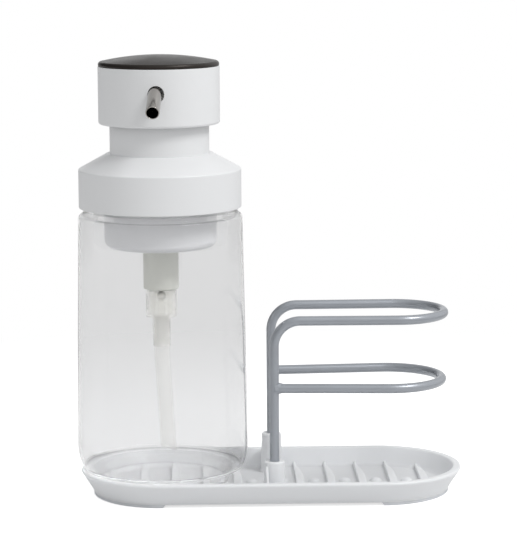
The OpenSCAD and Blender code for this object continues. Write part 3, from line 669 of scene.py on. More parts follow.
def clear_plastic(
    name, tone, roughness=0.02, cloudiness=1.0, wave=0.25, ior=1.49, cover=1.0, foot=None
):
    """Clear moulded plastic: light passes through, with slow waves of the blown wall and faint haze

    cover is the share of the surface that isn't simply see-through. foot, where given, is the pair
    of radii in millimetres between which tone and cover grow outwards from a clearer foot and neck.
    """
    f = finish_of(name)
    place = f.millimetres()
    slow = f.noise(f.vector("MULTIPLY", place, (1, 1, 0.3)), 0.045, 1.5)
    haze = f.noise(place, 0.5, 4.0, 0.6)
    tint = (*tone, 1)
    if foot:
        radius = f.vector("LENGTH", f.vector("MULTIPLY", place, (1, 1, 0)), output="Value")
        outwards = f.grow(radius, *foot)
        facing = f.add("ShaderNodeLayerWeight", inputs={"Blend": 0.5}, output="Facing")
        edge = f.shades(f.grow(facing, 0.35, 0.75), tone, 1, 0.98)
        tint = f.tones(outwards, scaled(tone, 0.96), edge)
        cover = 0.4 + 0.6 * outwards
    f.surface(
        Base_Color=tint,
        Alpha=cover,
        Transmission_Weight=cloudiness,
        Roughness=f.grow(haze, 0.35, 0.75, roughness, roughness * 1.8),
        IOR=ior,
        Normal=f.bump(slow, wave * MM, 0.35),
    )


def steel(name, tone, roughness=0.24, along=(1, 1, 1)):
    """Stainless steel with fine drawn streaks"""
    f = finish_of(name)
    place = f.vector("MULTIPLY", f.millimetres(), along)
    streak = f.noise(place, 3.0, 4.0, 0.65)
    blotch = f.noise(f.millimetres(), 0.25, 3.0)
    f.surface(
        Base_Color=f.shades(blotch, tone, 0.93, 1.05),
        Metallic=1.0,
        Roughness=f.grow(streak, 0.25, 0.75, roughness - 0.06, roughness + 0.08),
        Normal=f.bump(streak, 0.006 * MM, 0.6),
    )


def piece_of(kind):
    """Settings of one group of sizes"""
    return getattr(bpy.context.scene, kind)


# Tray and feet


def oval(outline, steps=48, straight=24):
    """The outline (r, z) carried around the tray's long oval

    A point lies r outwards from the oval's core, which is the line between its ends' centres:
    half turns about the ends and straight runs between them.
    """
    half = np.linspace(0, math.pi, 2 * steps + 1)
    run = np.linspace(0, 1, straight + 1)[1:-1]
    turn = np.concatenate([
        half + math.pi / 2,
        np.full(len(run), 1.5 * math.pi),
        half - math.pi / 2,
        np.full(len(run), math.pi / 2),
    ])
    base = np.concatenate([
        np.zeros(len(half)), run * TRAY_SPAN, np.full(len(half), TRAY_SPAN), (1 - run) * TRAY_SPAN
    ])
    r, z = outline[None, :, 0], outline[None, :, 1]
    x = base[:, None] + r * np.cos(turn)[:, None]
    y = r * np.sin(turn)[:, None]
    return skin(grid(x, y, z), True, False)


def inner_wall(t, z):
    """Distance from the oval's core to the inner wall at a level"""
    rate = t.lean / (t.wall_h - t.rim_round - FOOT_H - t.kick)
    return TRAY_R - t.rim_w - rate * (t.wall_h - t.rim_round - z)


def tray_outline(t):
    """Half section of the tray from its underside around the rim to its floor"""
    floor_z = FOOT_H + t.floor
    return rounded(
        (0, FOOT_H),
        (TRAY_R - t.lean, FOOT_H, MILD),
        (TRAY_R - t.lean, FOOT_H + t.kick, SOFT),
        (TRAY_R, t.wall_h - t.rim_round, 1.1 * MM),
        (TRAY_R, t.wall_h, ROUND),
        (TRAY_R - t.rim_w, t.wall_h, t.rim_round),
        (inner_wall(t, floor_z), floor_z, t.fillet),
        (0, floor_z),
    )


def rib(t, x):
    """A rib across the tray: a straight near side, and a far side that bulges along a wide circle

    The section is a flared foot, upright sides and a rounded top. Its far side is moved by
    sqrt(R^2 - y^2) - (R - bulge), the sagitta of the circle that spans the bulge.
    """
    floor_z = FOOT_H + t.floor
    top = floor_z + t.rib_h
    out = max(0.0, -x, x + t.rib_t - TRAY_SPAN)
    span = inner_wall(t, top) + SINK
    half = math.sqrt(span * span - out * out)
    bulge_half = min(t.rib_reach, half - MARGIN)
    sweep = (bulge_half**2 + t.rib_bulge**2) / (2 * t.rib_bulge)
    y = np.concatenate([
        np.linspace(-half, -bulge_half, 6)[:-1],
        np.linspace(-bulge_half, bulge_half, 49),
        np.linspace(bulge_half, half, 6)[1:],
    ])
    swell = np.sqrt(np.maximum(sweep**2 - y**2, 0)) - (sweep - t.rib_bulge)
    swell = np.where(np.abs(y) < bulge_half, swell, 0)
    sink = floor_z - SINK
    foot = floor_z - HAIR
    section = rounded(
        (-t.root, sink),
        (t.rib_t + t.root, sink),
        (t.rib_t + t.root, foot),
        (t.rib_t, foot, t.root * 0.8),
        (t.rib_t, top, MILD),
        (0, top, MILD),
        (0, foot, t.root * 0.8),
        (-t.root, foot),
    )
    far = section[:, 0] > t.rib_t / 2
    x = x + section[None, :, 0] + np.where(far[None, :], swell[:, None], 0)
    return skin(grid(x, y[:, None], section[None, :, 1]), False, True, capped=True)


def dome(t, x):
    """A drainage dome: a shallow cap of a ball with a flared foot

    The ball's radius is (r^2 + h^2) / 2h, for the dome's radius r and height h.
    """
    floor_z = FOOT_H + t.floor
    ball = (t.dome_r**2 + t.dome_h**2) / (2 * t.dome_h)
    edge = math.asin(min(1.0, t.dome_r / ball)) * 0.97
    a = np.linspace(edge, 0, 15)
    cap = grid(ball * np.sin(a), floor_z + t.dome_h - ball + ball * np.cos(a))
    foot, shoulder, rise = t.dome_r + 0.5 * MM, t.dome_r + 0.18 * MM, 0.04 * MM
    skirt = [
        (0, floor_z - SINK),
        (foot, floor_z - SINK),
        (foot, floor_z - HAIR),
        (shoulder, floor_z + rise),
    ]
    return moved(lathe(np.concatenate([skirt, cap]), closed=False, steps=48), (x, 0, 0))


def leg_socket(t, h, side, top):
    """A tapered socket around a leg, open at the top"""
    floor_z = FOOT_H + t.floor
    low = floor_z - SINK
    foot = floor_z - HAIR
    bore = WIRE_R + 0.05 * MM
    flare = t.socket_r + 0.5 * MM
    skirt = flare + 1.6 * MM
    seat_z = floor_z + 1 * MM
    outline = rounded(
        (0, low),
        (skirt, low),
        (skirt, foot),
        (flare, foot, FULL),
        (t.socket_r, top, 0.55 * MM),
        (bore, top, EDGE),
        (bore, seat_z),
        (0, seat_z),
    )
    return moved(lathe(outline, closed=False, steps=64), (HOLDER_X, side * h.leg_y, 0))


def web(t, h, top):
    """The thin web from a socket's side out to the rim, with a rounded upper edge

    Its section is a thin upright bar. Its top falls in a straight line from socket to rim, and
    its bottom stays within the floor and then within the leaning wall.
    """
    floor_z = FOOT_H + t.floor
    inner, outer = h.leg_y, TRAY_R - t.rim_w * 0.8
    y = np.linspace(inner, outer, 25)
    rim_z = t.wall_h - t.rim_round
    head = top - 0.3 * MM
    crest = head + (rim_z - head) * (y - inner) / (outer - inner)
    rate = (inner_wall(t, rim_z) - inner_wall(t, floor_z)) / (rim_z - floor_z)
    lean = rim_z - (inner_wall(t, rim_z) + SINK - y) / rate
    bottom = np.minimum(np.maximum(floor_z - SINK, lean), crest - t.web_t)
    half = t.web_t / 2
    bend = np.linspace(0, math.pi, 9)
    edge_x = np.concatenate([[-half, half], half * np.cos(bend)])
    base = np.array([True, True] + [False] * len(bend))
    lift = np.concatenate([[0, 0], half * np.sin(bend) - half])
    x = HOLDER_X - t.socket_r + t.web_t + edge_x[None, :]
    z = np.where(base[None, :], bottom[:, None], crest[:, None] + lift[None, :])
    return skin(grid(x, y[:, None], z), False, True, capped=True)


def half_disc(levels):
    """A pad with a half round end: levels are (z, radius, straight end), each a ring of the pad"""
    rings = []
    for z, r, end in levels:
        corner = math.acos(end / r)
        a = np.linspace(corner, 2 * math.pi - corner, 97)
        arc = grid(r * np.cos(a), r * np.sin(a), z)
        edge = grid(end, np.linspace(arc[-1, 1], arc[0, 1], 17)[1:-1], z)
        rings.append(np.concatenate([arc, edge]))
    return skin(np.stack(rings)[:, ::-1], False, True, capped=True)


class CADDY_OT_tray(bpy.types.Operator):
    """Mould the tray with its drainage ribs, domes, leg sockets and webs"""

    bl_idname = "caddy.tray"
    bl_label = "Tray"

    def execute(self, context):
        t, h = piece_of("caddy_tray"), piece_of("caddy_holder")
        piece = object_of("tray_moulding", [oval(tray_outline(t))])
        first = HOLDER_X + t.rib_gap
        room = inner_wall(t, FOOT_H + t.floor + t.rib_h) - MARGIN
        low = math.ceil((-room - first) / t.rib_pitch)
        high = math.floor((TRAY_SPAN + room - first) / t.rib_pitch)
        places = [first + k * t.rib_pitch for k in range(low, high + 1)]
        clear = t.socket_r + t.rib_bulge
        ribs = [rib(t, x) for x in places if abs(x + t.rib_t / 2 - HOLDER_X) > clear]
        half_way = t.rib_pitch / 2 + (t.rib_t + t.rib_bulge / 2) / 2
        ribs += [dome(t, x + half_way) for x in places[:-1]]
        rear = TRAY_HIGH.z
        sockets = [leg_socket(t, h, -1, t.socket_front), leg_socket(t, h, 1, rear)]
        webs = [web(t, h, rear), mirrored(web(t, h, t.socket_front), 1)]
        for forms in (ribs, sockets, webs):
            combine(piece, forms, "UNION")
        slack = 0.05 * MM
        key_r = FOOT_HIGH.y - t.foot_key + slack
        key_end = FOOT_HIGH.x - t.foot_key + slack
        key = half_disc([(FOOT_H - OVERRUN, key_r, key_end), (FOOT_HIGH.z, key_r, key_end)])
        combine(piece, [key, mirrored(key, 0, TRAY_SPAN / 2)], "DIFFERENCE")
        dress(piece, "Tray plastic", "tray", 38)
        return {"FINISHED"}


class CADDY_OT_feet(bpy.types.Operator):
    """Mould the two soft feet, each let into the tray's underside by a key"""

    bl_idname = "caddy.feet"
    bl_label = "Feet"

    def execute(self, context):
        t = piece_of("caddy_tray")
        r, end = FOOT_HIGH.y, FOOT_HIGH.x
        levels = []
        for turn in np.linspace(0, math.pi / 2, 5):
            up = t.foot_round * (1 - math.cos(turn))
            back = t.foot_round * (1 - math.sin(turn))
            levels.append((up, r - back, end - t.foot_bevel - back + t.foot_bevel * up / FOOT_H))
        levels += [
            (FOOT_H, r, end),
            (FOOT_H, r - t.foot_key, end - t.foot_key),
            (FOOT_HIGH.z, r - t.foot_key, end - t.foot_key),
        ]
        pad = half_disc(levels)
        make("foot_pad_left", [pad], "Foot rubber", "left_foot", 40)
        make("foot_pad_right", [mirrored(pad, 0, TRAY_SPAN / 2)], "Foot rubber", "right_foot", 40)
        return {"FINISHED"}


# Wire holder


def half_loop(h, half_w, reach_x, start):
    """One arm of a loop and its share of the round end, from the leg to the tip, with headings

    The arm leaves the leg at the angle at which it touches the circle of the round end.
    """
    centre = reach_x - half_w
    spread = math.asin(half_w / math.hypot(centre, h.leg_y)) - math.atan(h.leg_y / centre)
    arm = math.sqrt(centre**2 + h.leg_y**2 - half_w**2)
    run = np.linspace(start, arm, 16)
    a = np.linspace(spread + math.pi / 2, 0, 49)[1:]
    x = np.concatenate([HOLDER_X + run * math.cos(spread), HOLDER_X + centre + half_w * np.cos(a)])
    y = np.concatenate([h.leg_y + run * math.sin(spread), half_w * np.sin(a)])
    return x, y, np.concatenate([np.full(len(run), spread), a - math.pi / 2]), spread


def whole_loop(path, heading):
    """The half path and its mirror image across the tray's middle, joined at the tip"""
    back = path[-2::-1] * (1, -1, 1)
    return np.concatenate([path, back]), np.concatenate([heading, math.pi - heading[-2::-1] - math.tau])


class CADDY_OT_wires(bpy.types.Operator):
    """Bend the upper and the lower wire, and lay the weld beads where they meet"""

    bl_idname = "caddy.wires"
    bl_label = "Wire holder"

    def execute(self, context):
        h = piece_of("caddy_holder")
        top = UPPER_HIGH.z - WIRE_R
        half_w, end = UPPER_HIGH.y - WIRE_R, UPPER_HIGH.x - WIRE_R - HOLDER_X
        x, y, heading, spread = half_loop(h, half_w, end, h.bend_r)
        a = np.linspace(0, math.pi / 2, 25)[:-1]
        leg = np.linspace(UPPER_LOW.z, top - h.bend_r, 12)[:-1]
        bend = h.bend_r * (1 - np.cos(a))
        x = np.concatenate([np.full(len(leg), HOLDER_X), HOLDER_X + bend * math.cos(spread), x])
        y = np.concatenate([np.full(len(leg), h.leg_y), h.leg_y + bend * math.sin(spread), y])
        z = np.concatenate([leg, top - h.bend_r + h.bend_r * np.sin(a), np.full(len(heading), top)])
        heading = np.concatenate([np.full(len(leg) + len(bend), spread), heading])
        path, heading = whole_loop(grid(x, y, z), heading)
        make("wire_upper", [tube(path, heading, WIRE_R)], "Coated wire", "upper_wire")

        level = (LOWER_LOW.z + LOWER_HIGH.z) / 2
        half_w, end = LOWER_HIGH.y - WIRE_R, LOWER_HIGH.x - WIRE_R - HOLDER_X
        x, y, heading, spread = half_loop(h, half_w, end, 0)
        path, heading = whole_loop(grid(x, y, level), heading)

        def cope(a):
            """Distance along the arm at which each line of the tube meets the leg's side"""
            depth = np.sqrt(np.maximum((WIRE_R + HAIR) ** 2 - (WIRE_R * np.cos(a)) ** 2, 0))
            return depth, -depth

        make("wire_lower", [tube(path, heading, WIRE_R, ends=cope)], "Coated wire", "lower_loop")
        beads = [self.bead(h, spread, level, 0.0), mirrored(self.bead(h, spread, level, 2.0), 1)]
        make("weld_fillets", beads, "Weld coat", "weld_beads", 80)
        return {"FINISHED"}

    @staticmethod
    def bead(h, spread, level, phase):
        """A lumpy fillet around the end of an arm, saddled on the leg

        Its section is a closed curve of four corners, from the leg's side to the arm's, and it
        stands on the leg at sqrt(R^2 - across^2). Three waves around it make the lumps.
        """
        low = WIRE_R + HAIR
        section = rounded(
            (HAIR, low),
            (h.bead_len, low),
            (h.bead_len, low + 0.04 * MM),
            (h.bead_len * 0.35, low + h.bead_h * 0.75, h.bead_h * 0.5),
            (HAIR, low + h.bead_h),
        )
        a = np.linspace(0, 2 * math.pi, 72, endpoint=False)[:, None]
        along, out = section[None, :, 0], section[None, :, 1]
        lump = np.sin(3 * a + phase) + 0.6 * np.sin(7 * a + 1.7 * phase) + 0.4 * np.sin(11 * a + 1)
        out = out + h.bead_lump * lump * np.clip((out - low) / h.bead_h, 0, 1)
        across, up = out * np.cos(a), out * np.sin(a)
        seat = np.sqrt(low**2 - np.minimum(np.abs(across), WIRE_R) ** 2)
        run = seat + along * (1 + 0.12 * lump)
        x = HOLDER_X + run * math.cos(spread) - across * math.sin(spread)
        y = h.leg_y + run * math.sin(spread) + across * math.cos(spread)
        return skin(grid(x, y, level + up)[::-1])


# Bottle


def heel(b, inset, z):
    """Points of the heel's curve from level z up, inset from its outer face: a circle's lower quarter"""
    top = b.heel_z + b.heel_h
    r = b.heel_r - inset
    low = math.asin((z - top) / r)
    a = low * (1 - np.linspace(0, 1, 25)[1:])
    return grid(BOTTLE_R - b.heel_r + r * np.cos(a), top + r * np.sin(a))


def heel_foot(b, inset, z):
    """Radius of the heel's curve at level z"""
    r = b.heel_r - inset
    return BOTTLE_R - b.heel_r + math.sqrt(r * r - (z - b.heel_z - b.heel_h) ** 2)


def bottle_outline(b):
    """Closed section of the bottle: outer side up from the foot ring, over the mouth, and down inside"""
    top = b.heel_z + b.heel_h + b.straight
    floor_z = b.heel_z + b.floor
    ring_top_r = b.ring_r + b.ring_flare
    fillet = 1.5 * MM
    neck = np.arange(b.bead_z + FULL, MOUTH_Z - FULL, THREAD_ROW)
    side = np.linspace(0, 1, 30)[1:-1, None]
    bend = 3 * MM
    low, high = np.array([[BOTTLE_R, top]]), np.array([[b.shoulder_r, b.shoulder_z - bend]])
    outer = rounded(
        (b.ring_r - b.ring_wall, BOTTLE_Z, SOFT),
        (b.ring_r, BOTTLE_Z, SOFT),
        (ring_top_r, b.heel_z, EDGE),
        (heel_foot(b, 0, b.heel_z), b.heel_z, fillet),
        tuple(heel(b, 0, b.heel_z)[0]),
    )
    shoulder = rounded(
        tuple(high[0]),
        (b.shoulder_r, b.shoulder_z, 2 * MM),
        (b.bead_r, b.shoulder_z, 0.35 * MM),
        (b.bead_r, b.bead_z, EASY),
        (b.neck_r, b.bead_z, SOFT),
        (b.neck_r, neck[0]),
    )
    rim = rounded(
        (b.neck_r, neck[-1]),
        (b.neck_r, MOUTH_Z, SOFT),
        (b.mouth_r, MOUTH_Z, SOFT),
        (b.mouth_r, b.bead_z - b.wall, ROUND),
        (b.bead_r - b.wall, b.bead_z - b.wall, MILD),
        (b.bead_r - b.wall, b.shoulder_z - b.wall, SOFT),
        (b.shoulder_r - b.wall, b.shoulder_z - b.wall, FULL),
        (BOTTLE_R - b.wall, top),
    )
    inside = heel(b, b.wall, floor_z)[::-1]
    base = rounded(
        tuple(inside[-1]),
        (heel_foot(b, b.wall, floor_z), floor_z, fillet),
        (0, floor_z),
    )
    under = rounded(
        (0, b.heel_z),
        (ring_top_r - b.ring_wall, b.heel_z, EASY),
        (b.ring_r - b.ring_wall, BOTTLE_Z + SOFT),
    )
    return np.concatenate([
        outer[:-1], heel(b, 0, b.heel_z), low + (high - low) * side, shoulder[:-1],
        grid(b.neck_r, neck), rim[1:], inside[:-1], base[1:-1],
    ]), under


def ridge(b, turn, z, drop):
    """Height of a thread: a rounded ridge about a line that climbs a pitch in a turn

    Its flank falls off smoothly over its width. It fades in and out at both ends of the turn, over
    the angle end. drop lowers the line.
    """
    width, end = 0.75 * MM, 0.35
    line = b.shoulder_z + b.thread_z - drop + b.thread_pitch * turn / (2 * math.pi)
    off = np.clip(np.abs(z - line) / width - 0.45, 0, 1)
    fade = np.clip(turn / end, 0, 1) * np.clip((2 * math.pi - turn) / end, 0, 1)
    return b.thread_h * (1 - off**2 * (3 - 2 * off)) * fade


def thread(b, face, way, drop):
    """A swell for lathe: the ridge on the face of that radius alone, outwards for 1, inwards for -1"""
    return lambda turn, r, z: np.where(np.abs(r - face) < HAIR / 2, way * ridge(b, turn, z, drop), 0)


class CADDY_OT_bottle(bpy.types.Operator):
    """Blow the clear bottle with its foot ring, heel, shoulder and threaded neck"""

    bl_idname = "caddy.bottle"
    bl_label = "Bottle"

    def execute(self, context):
        b = piece_of("caddy_bottle")
        wall, under = bottle_outline(b)
        floor_z = b.heel_z + b.floor
        outline = np.concatenate([under, wall, [[0, floor_z]]])
        shell = lathe(outline, closed=False, steps=240, swell=thread(b, b.neck_r, 1, 0))
        piece = make("bottle_shell", [shell], "Clear bottle", "bottle", 50)
        piece.visible_shadow = False
        return {"FINISHED"}


# Pump


class CADDY_OT_collar(bpy.types.Operator):
    """Mould the collar and the neck sleeve that rises from it"""

    bl_idname = "caddy.collar"
    bl_label = "Collar and sleeve"

    def execute(self, context):
        p = piece_of("caddy_pump")
        cone_z = COLLAR_TOP - p.cone_h
        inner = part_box("thread_ring")[1].x + HAIR
        collar = rounded(
            (inner, p.skirt_z, EDGE),
            (COLLAR_R, p.skirt_z, 0.45 * MM),
            (COLLAR_R, cone_z, 0.9 * MM),
            (p.sleeve_r + p.ledge, COLLAR_TOP, EASY),
            (p.sleeve_r + HAIR, COLLAR_TOP, CRISP),
            (p.sleeve_r + HAIR, cone_z),
            (inner, cone_z, EDGE),
        )
        make("collar_shell", [lathe(collar)], "Closure white", "collar")
        flange_z, roof_z = FLANGE_Z + 1.8 * MM, SLEEVE_TOP - 1.6 * MM
        sleeve = rounded(
            (p.sleeve_r - p.sleeve_wall, FLANGE_Z, EDGE),
            (FLANGE_R, FLANGE_Z, FINE),
            (FLANGE_R, flange_z, FINE),
            (p.sleeve_r, flange_z),
            (p.sleeve_r, SLEEVE_TOP, ROUND),
            (p.bush_r + HAIR, SLEEVE_TOP, CRISP),
            (p.bush_r + HAIR, roof_z, CRISP),
            (p.sleeve_r - p.sleeve_wall, roof_z, SOFT),
        )
        make("neck_sleeve_shell", [lathe(sleeve)], "Closure white", "neck_sleeve")

        b = piece_of("caddy_bottle")
        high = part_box("thread_ring")[1]
        play, plain, low_z = 0.3 * MM, 0.7 * MM, p.skirt_z + 0.2 * MM
        outer, inner = high.x, b.neck_r + b.thread_h + play
        bore = np.arange(high.z - plain, p.skirt_z + plain, -THREAD_ROW)
        ring = np.concatenate([
            rounded(
                (inner, low_z, MILD),
                (outer, low_z, EDGE),
                (outer, high.z, EDGE),
                (inner, high.z, EDGE),
            ),
            grid(inner, bore),
        ])
        turned = lathe(ring, swell=thread(b, inner, -1, b.thread_pitch / 2))
        make("thread_ring_turned", [turned], "Closure white", "thread_ring")
        return {"FINISHED"}


def spout_frame(p, extra_turn=0.0):
    """Matrix that carries a piece drawn along +Z from its origin onto the spout's axis"""
    turn = Matrix.Rotation(p.turn + extra_turn, 4, "Z")
    out = Matrix.Translation((0, -HEAD_R, p.spout_z))
    return np.array(turn @ out @ Matrix.Rotation(math.pi / 2 + p.slope, 4, "X"))


def placed(surface, matrix):
    """The surface carried by a matrix"""
    points, faces = surface
    return points @ matrix[:3, :3].T + matrix[:3, 3], faces


class CADDY_OT_head(bpy.types.Operator):
    """Mould the head's casing with the hole for the spout, and the soft cap on it"""

    bl_idname = "caddy.head"
    bl_label = "Head and cap"

    def execute(self, context):
        p = piece_of("caddy_pump")
        inner = HEAD_R - p.head_wall
        shelf_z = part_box("cap_plate")[0].z
        shelf_r, under_z = inner - 1.8 * MM, shelf_z - 1.4 * MM
        lip, sharp = 0.25 * MM, 0.1 * MM
        side = np.linspace(HEAD_Z + 1.4 * MM, HEAD_TOP - EASY, 40)
        casing = np.concatenate([
            rounded((inner, HEAD_Z), (HEAD_R, HEAD_Z, FULL), (HEAD_R, side[0]))[:-1],
            grid(HEAD_R, side),
            rounded(
                (HEAD_R, side[-1]),
                (HEAD_R, HEAD_TOP, lip),
                (inner, HEAD_TOP, lip),
                (inner, shelf_z, sharp),
                (shelf_r, shelf_z, sharp),
                (shelf_r, under_z, sharp),
                (inner, under_z, EDGE),
                (inner, HEAD_Z + EDGE),
            )[1:],
        ])
        piece = object_of("head_casing", [lathe(casing, steps=240)])
        deep = 8 * MM
        bore = rounded((0, -deep), (p.spout_hole, -deep), (p.spout_hole, deep), (0, deep))
        cutter = placed(lathe(bore, closed=False, steps=96), spout_frame(p, p.hole_turn))
        combine(piece, [cutter], "DIFFERENCE")
        dress(piece, "Closure white", "head_shell", 38)

        # The dome is the cap of a ball, whose radius is (edge^2 + rise^2) / 2 rise
        rim_z = HEAD_TOP + p.cap_rim
        edge = CAP_R - p.cap_round
        rise = CAP_TOP - rim_z
        ball = (edge**2 + rise**2) / (2 * rise)
        a = np.linspace(math.asin(edge / ball), 0, 41)
        top = grid(ball * np.sin(a), CAP_TOP - ball + ball * np.cos(a))
        groove = inner - 0.65 * MM
        base = rounded(
            (0, CAP_Z),
            (groove, CAP_Z, EDGE),
            (groove, HEAD_TOP + HAIR),
            (CAP_R, HEAD_TOP + HAIR, 0.7 * MM),
            (CAP_R, rim_z, p.cap_round),
            tuple(top[0]),
        )
        cap = np.concatenate([base[:-1], top])
        make("cap_cover", [lathe(cap, closed=False)], "Soft cap", "cap_pad", 60)
        return {"FINISHED"}


class CADDY_OT_spout(bpy.types.Operator):
    """Draw the steel spout: a thin tube with rolled lips"""

    bl_idname = "caddy.spout"
    bl_label = "Spout"

    def execute(self, context):
        p = piece_of("caddy_pump")
        root = -self.inside(p)
        end = p.spout_out / math.cos(p.slope)
        bore = p.spout_r - p.spout_wall
        roll, plain = 0.16 * MM, 1 * MM
        run = np.linspace(root + plain, end - plain, 24)
        lip = rounded((p.spout_r, run[-1]), (p.spout_r, end, roll), (bore, end, roll), (bore, run[-1]))
        tail = rounded((bore, run[0]), (bore, root, roll), (p.spout_r, root, roll), (p.spout_r, run[0]))
        outer, inner = grid(p.spout_r, run), grid(bore, run[::-1])
        outline = np.concatenate([outer, lip[1:-1], inner, tail[1:-1]])
        surface = placed(lathe(outline, steps=96), spout_frame(p))
        make("spout_pipe", [surface], "Spout steel", "spout_tube")
        return {"FINISHED"}

    @staticmethod
    def inside(p):
        """Length of the spout behind the casing's face, from the box of its node"""
        low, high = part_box("spout_tube")
        whole = (high.z - low.z - 2 * p.spout_r * math.cos(p.slope)) / math.sin(p.slope)
        return whole - p.spout_out / math.cos(p.slope)


class CADDY_OT_pump(bpy.types.Operator):
    """Wind the return spring that sits under the head, and draw the dip tube"""

    bl_idname = "caddy.pump"
    bl_label = "Spring and dip tube"

    def execute(self, context):
        p = piece_of("caddy_pump")
        low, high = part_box("pump_spring")
        wire = p.spring_wire
        coil_r = high.x - wire
        # A helix: x = R cos a, y = R sin a, and z climbs evenly with a
        steps = p.spring_turns * 36
        a = np.linspace(0, 2 * math.pi * p.spring_turns, steps + 1)
        z = np.linspace(low.z + wire, high.z - wire, steps + 1)
        path = grid(coil_r * np.cos(a), coil_r * np.sin(a), z)
        wound = tube(path, a + math.pi / 2, wire, sides=10)
        coil = make("spring_coil", [wound], "Spring steel", "pump_spring")
        travel = next(j for j in frame["joints"] if j["name"] == "pump_press")["range_m"][1]
        1 - travel / (high.z - low.z)
        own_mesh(coil)
        self.dip_tube(p)
        return {"FINISHED"}

    @staticmethod
    def dip_tube(p):
        """The hollow tube: upright in its socket, bent below it, then straight and slanting

        Within the bend its centre lies aside by tan(slant) * depth^2 / (2 bend), and below it by
        tan(slant) * (depth - bend / 2). The end is cut along a slanting plane.
        """
        low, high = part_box("dip_tube")
        outer, sides = -low.x, 64
        socket_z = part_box("valve_housing")[0].z
        z = np.concatenate([[high.z], np.linspace(socket_z, low.z + p.dip_short, 60)])
        depth = np.maximum(socket_z - z, 0)
        curve = np.minimum(depth, p.dip_bend) ** 2 / (2 * p.dip_bend)
        x = math.tan(p.dip_slant) * (curve + np.maximum(depth - p.dip_bend, 0))
        heading = np.full(len(z), math.pi)

        def cut(a):
            """The last ring alone slides along the tube, so that its end slants"""
            return 0 * a, outer * math.tan(p.dip_cut) * np.sin(a)

        outside, inside = (
            tube(grid(x, 0.0, z), heading, r, sides, cut)[0].reshape(len(z), sides, 3)
            for r in (outer, outer - p.dip_wall)
        )
        make("dip_tube_bent", [skin(np.concatenate([outside, inside[::-1]]))], "Clear tube", "dip_tube")


# The finishes of the pieces that keep the solid's own mesh
NODE_FINISH = {
    "neck_gasket": "Gasket rubber",
    "guide_bush": "Ivory plastic",
    "pump_cup": "Milky cup",
    "pump_cylinder": "Warm cylinder",
    "cylinder_cap": "Ivory plastic",
    "valve_housing": "Clear valve",
    "inlet_ball": "Ball steel",
    "pump_stem": "Ivory plastic",
    "piston": "Ivory plastic",
    "piston_seal": "Gasket rubber",
    "nozzle_core": "Ivory plastic",
    "cap_plate": "Closure white",
}


class CADDY_OT_finishes(bpy.types.Operator):
    """Mix the finishes and give the pieces of the frame theirs"""

    bl_idname = "caddy.finishes"
    bl_label = "Finishes"

    def execute(self, context):
        f = piece_of("caddy_finish")
        # The tray's low upward faces get painted shade between the two levels
        moulded(
            "Tray plastic", f.tray, f.satin + 0.06, grain=1.6, depth=0.012, flow=(0.35, 1, 1), seep=0.6,
            painted_shade_levels=(f.painted_shade_low / MM, f.painted_shade_high / MM),
        )
        moulded("Closure white", f.white, f.satin)
        moulded("Ivory plastic", f.ivory, 0.42)
        moulded("Milky cup", f.milky, 0.38, drift=0.02)
        moulded("Warm cylinder", f.warm, 0.4)
        rubber("Foot rubber", f.foot, 0.62)
        rubber("Gasket rubber", f.gasket, 0.6)
        rubber("Soft cap", f.cap, 0.32, grain=2.4, depth=0.012, ior=1.36, sheen=(1, 0.9, 0.84))
        coated_wire(f.wire)
        rubber("Weld coat", f.wire, 0.42, grain=1.1, depth=0.12)
        foot = (f.foot_clear / MM, f.foot_full / MM)
        clear_plastic("Clear bottle", f.clear, wave=0.12, ior=1.2, foot=foot)
        clear_plastic("Clear tube", scaled(f.tube, 0.8), 0.3, cloudiness=0.0, wave=0.0, ior=1.3, cover=0.17)
        clear_plastic("Clear valve", f.tube, 0.05, cloudiness=0.8, wave=0.0, ior=1.2, cover=0.5)
        steel("Spout steel", f.steel, 0.14, along=(1, 0.3, 0.6))
        steel("Spring steel", f.steel, 0.3)
        steel("Ball steel", f.ball, 0.5)
        for node, name in NODE_FINISH.items():
            frame["nodes"][node].material_slots[0].material = bpy.data.materials[name]
        return {"FINISHED"}


# Stage


def way_to(bearing, height):
    """Unit vector at a bearing to the right of the front and a height above level"""
    level = math.cos(height)
    return Vector((math.sin(bearing) * level, -math.cos(bearing) * level, math.sin(height)))


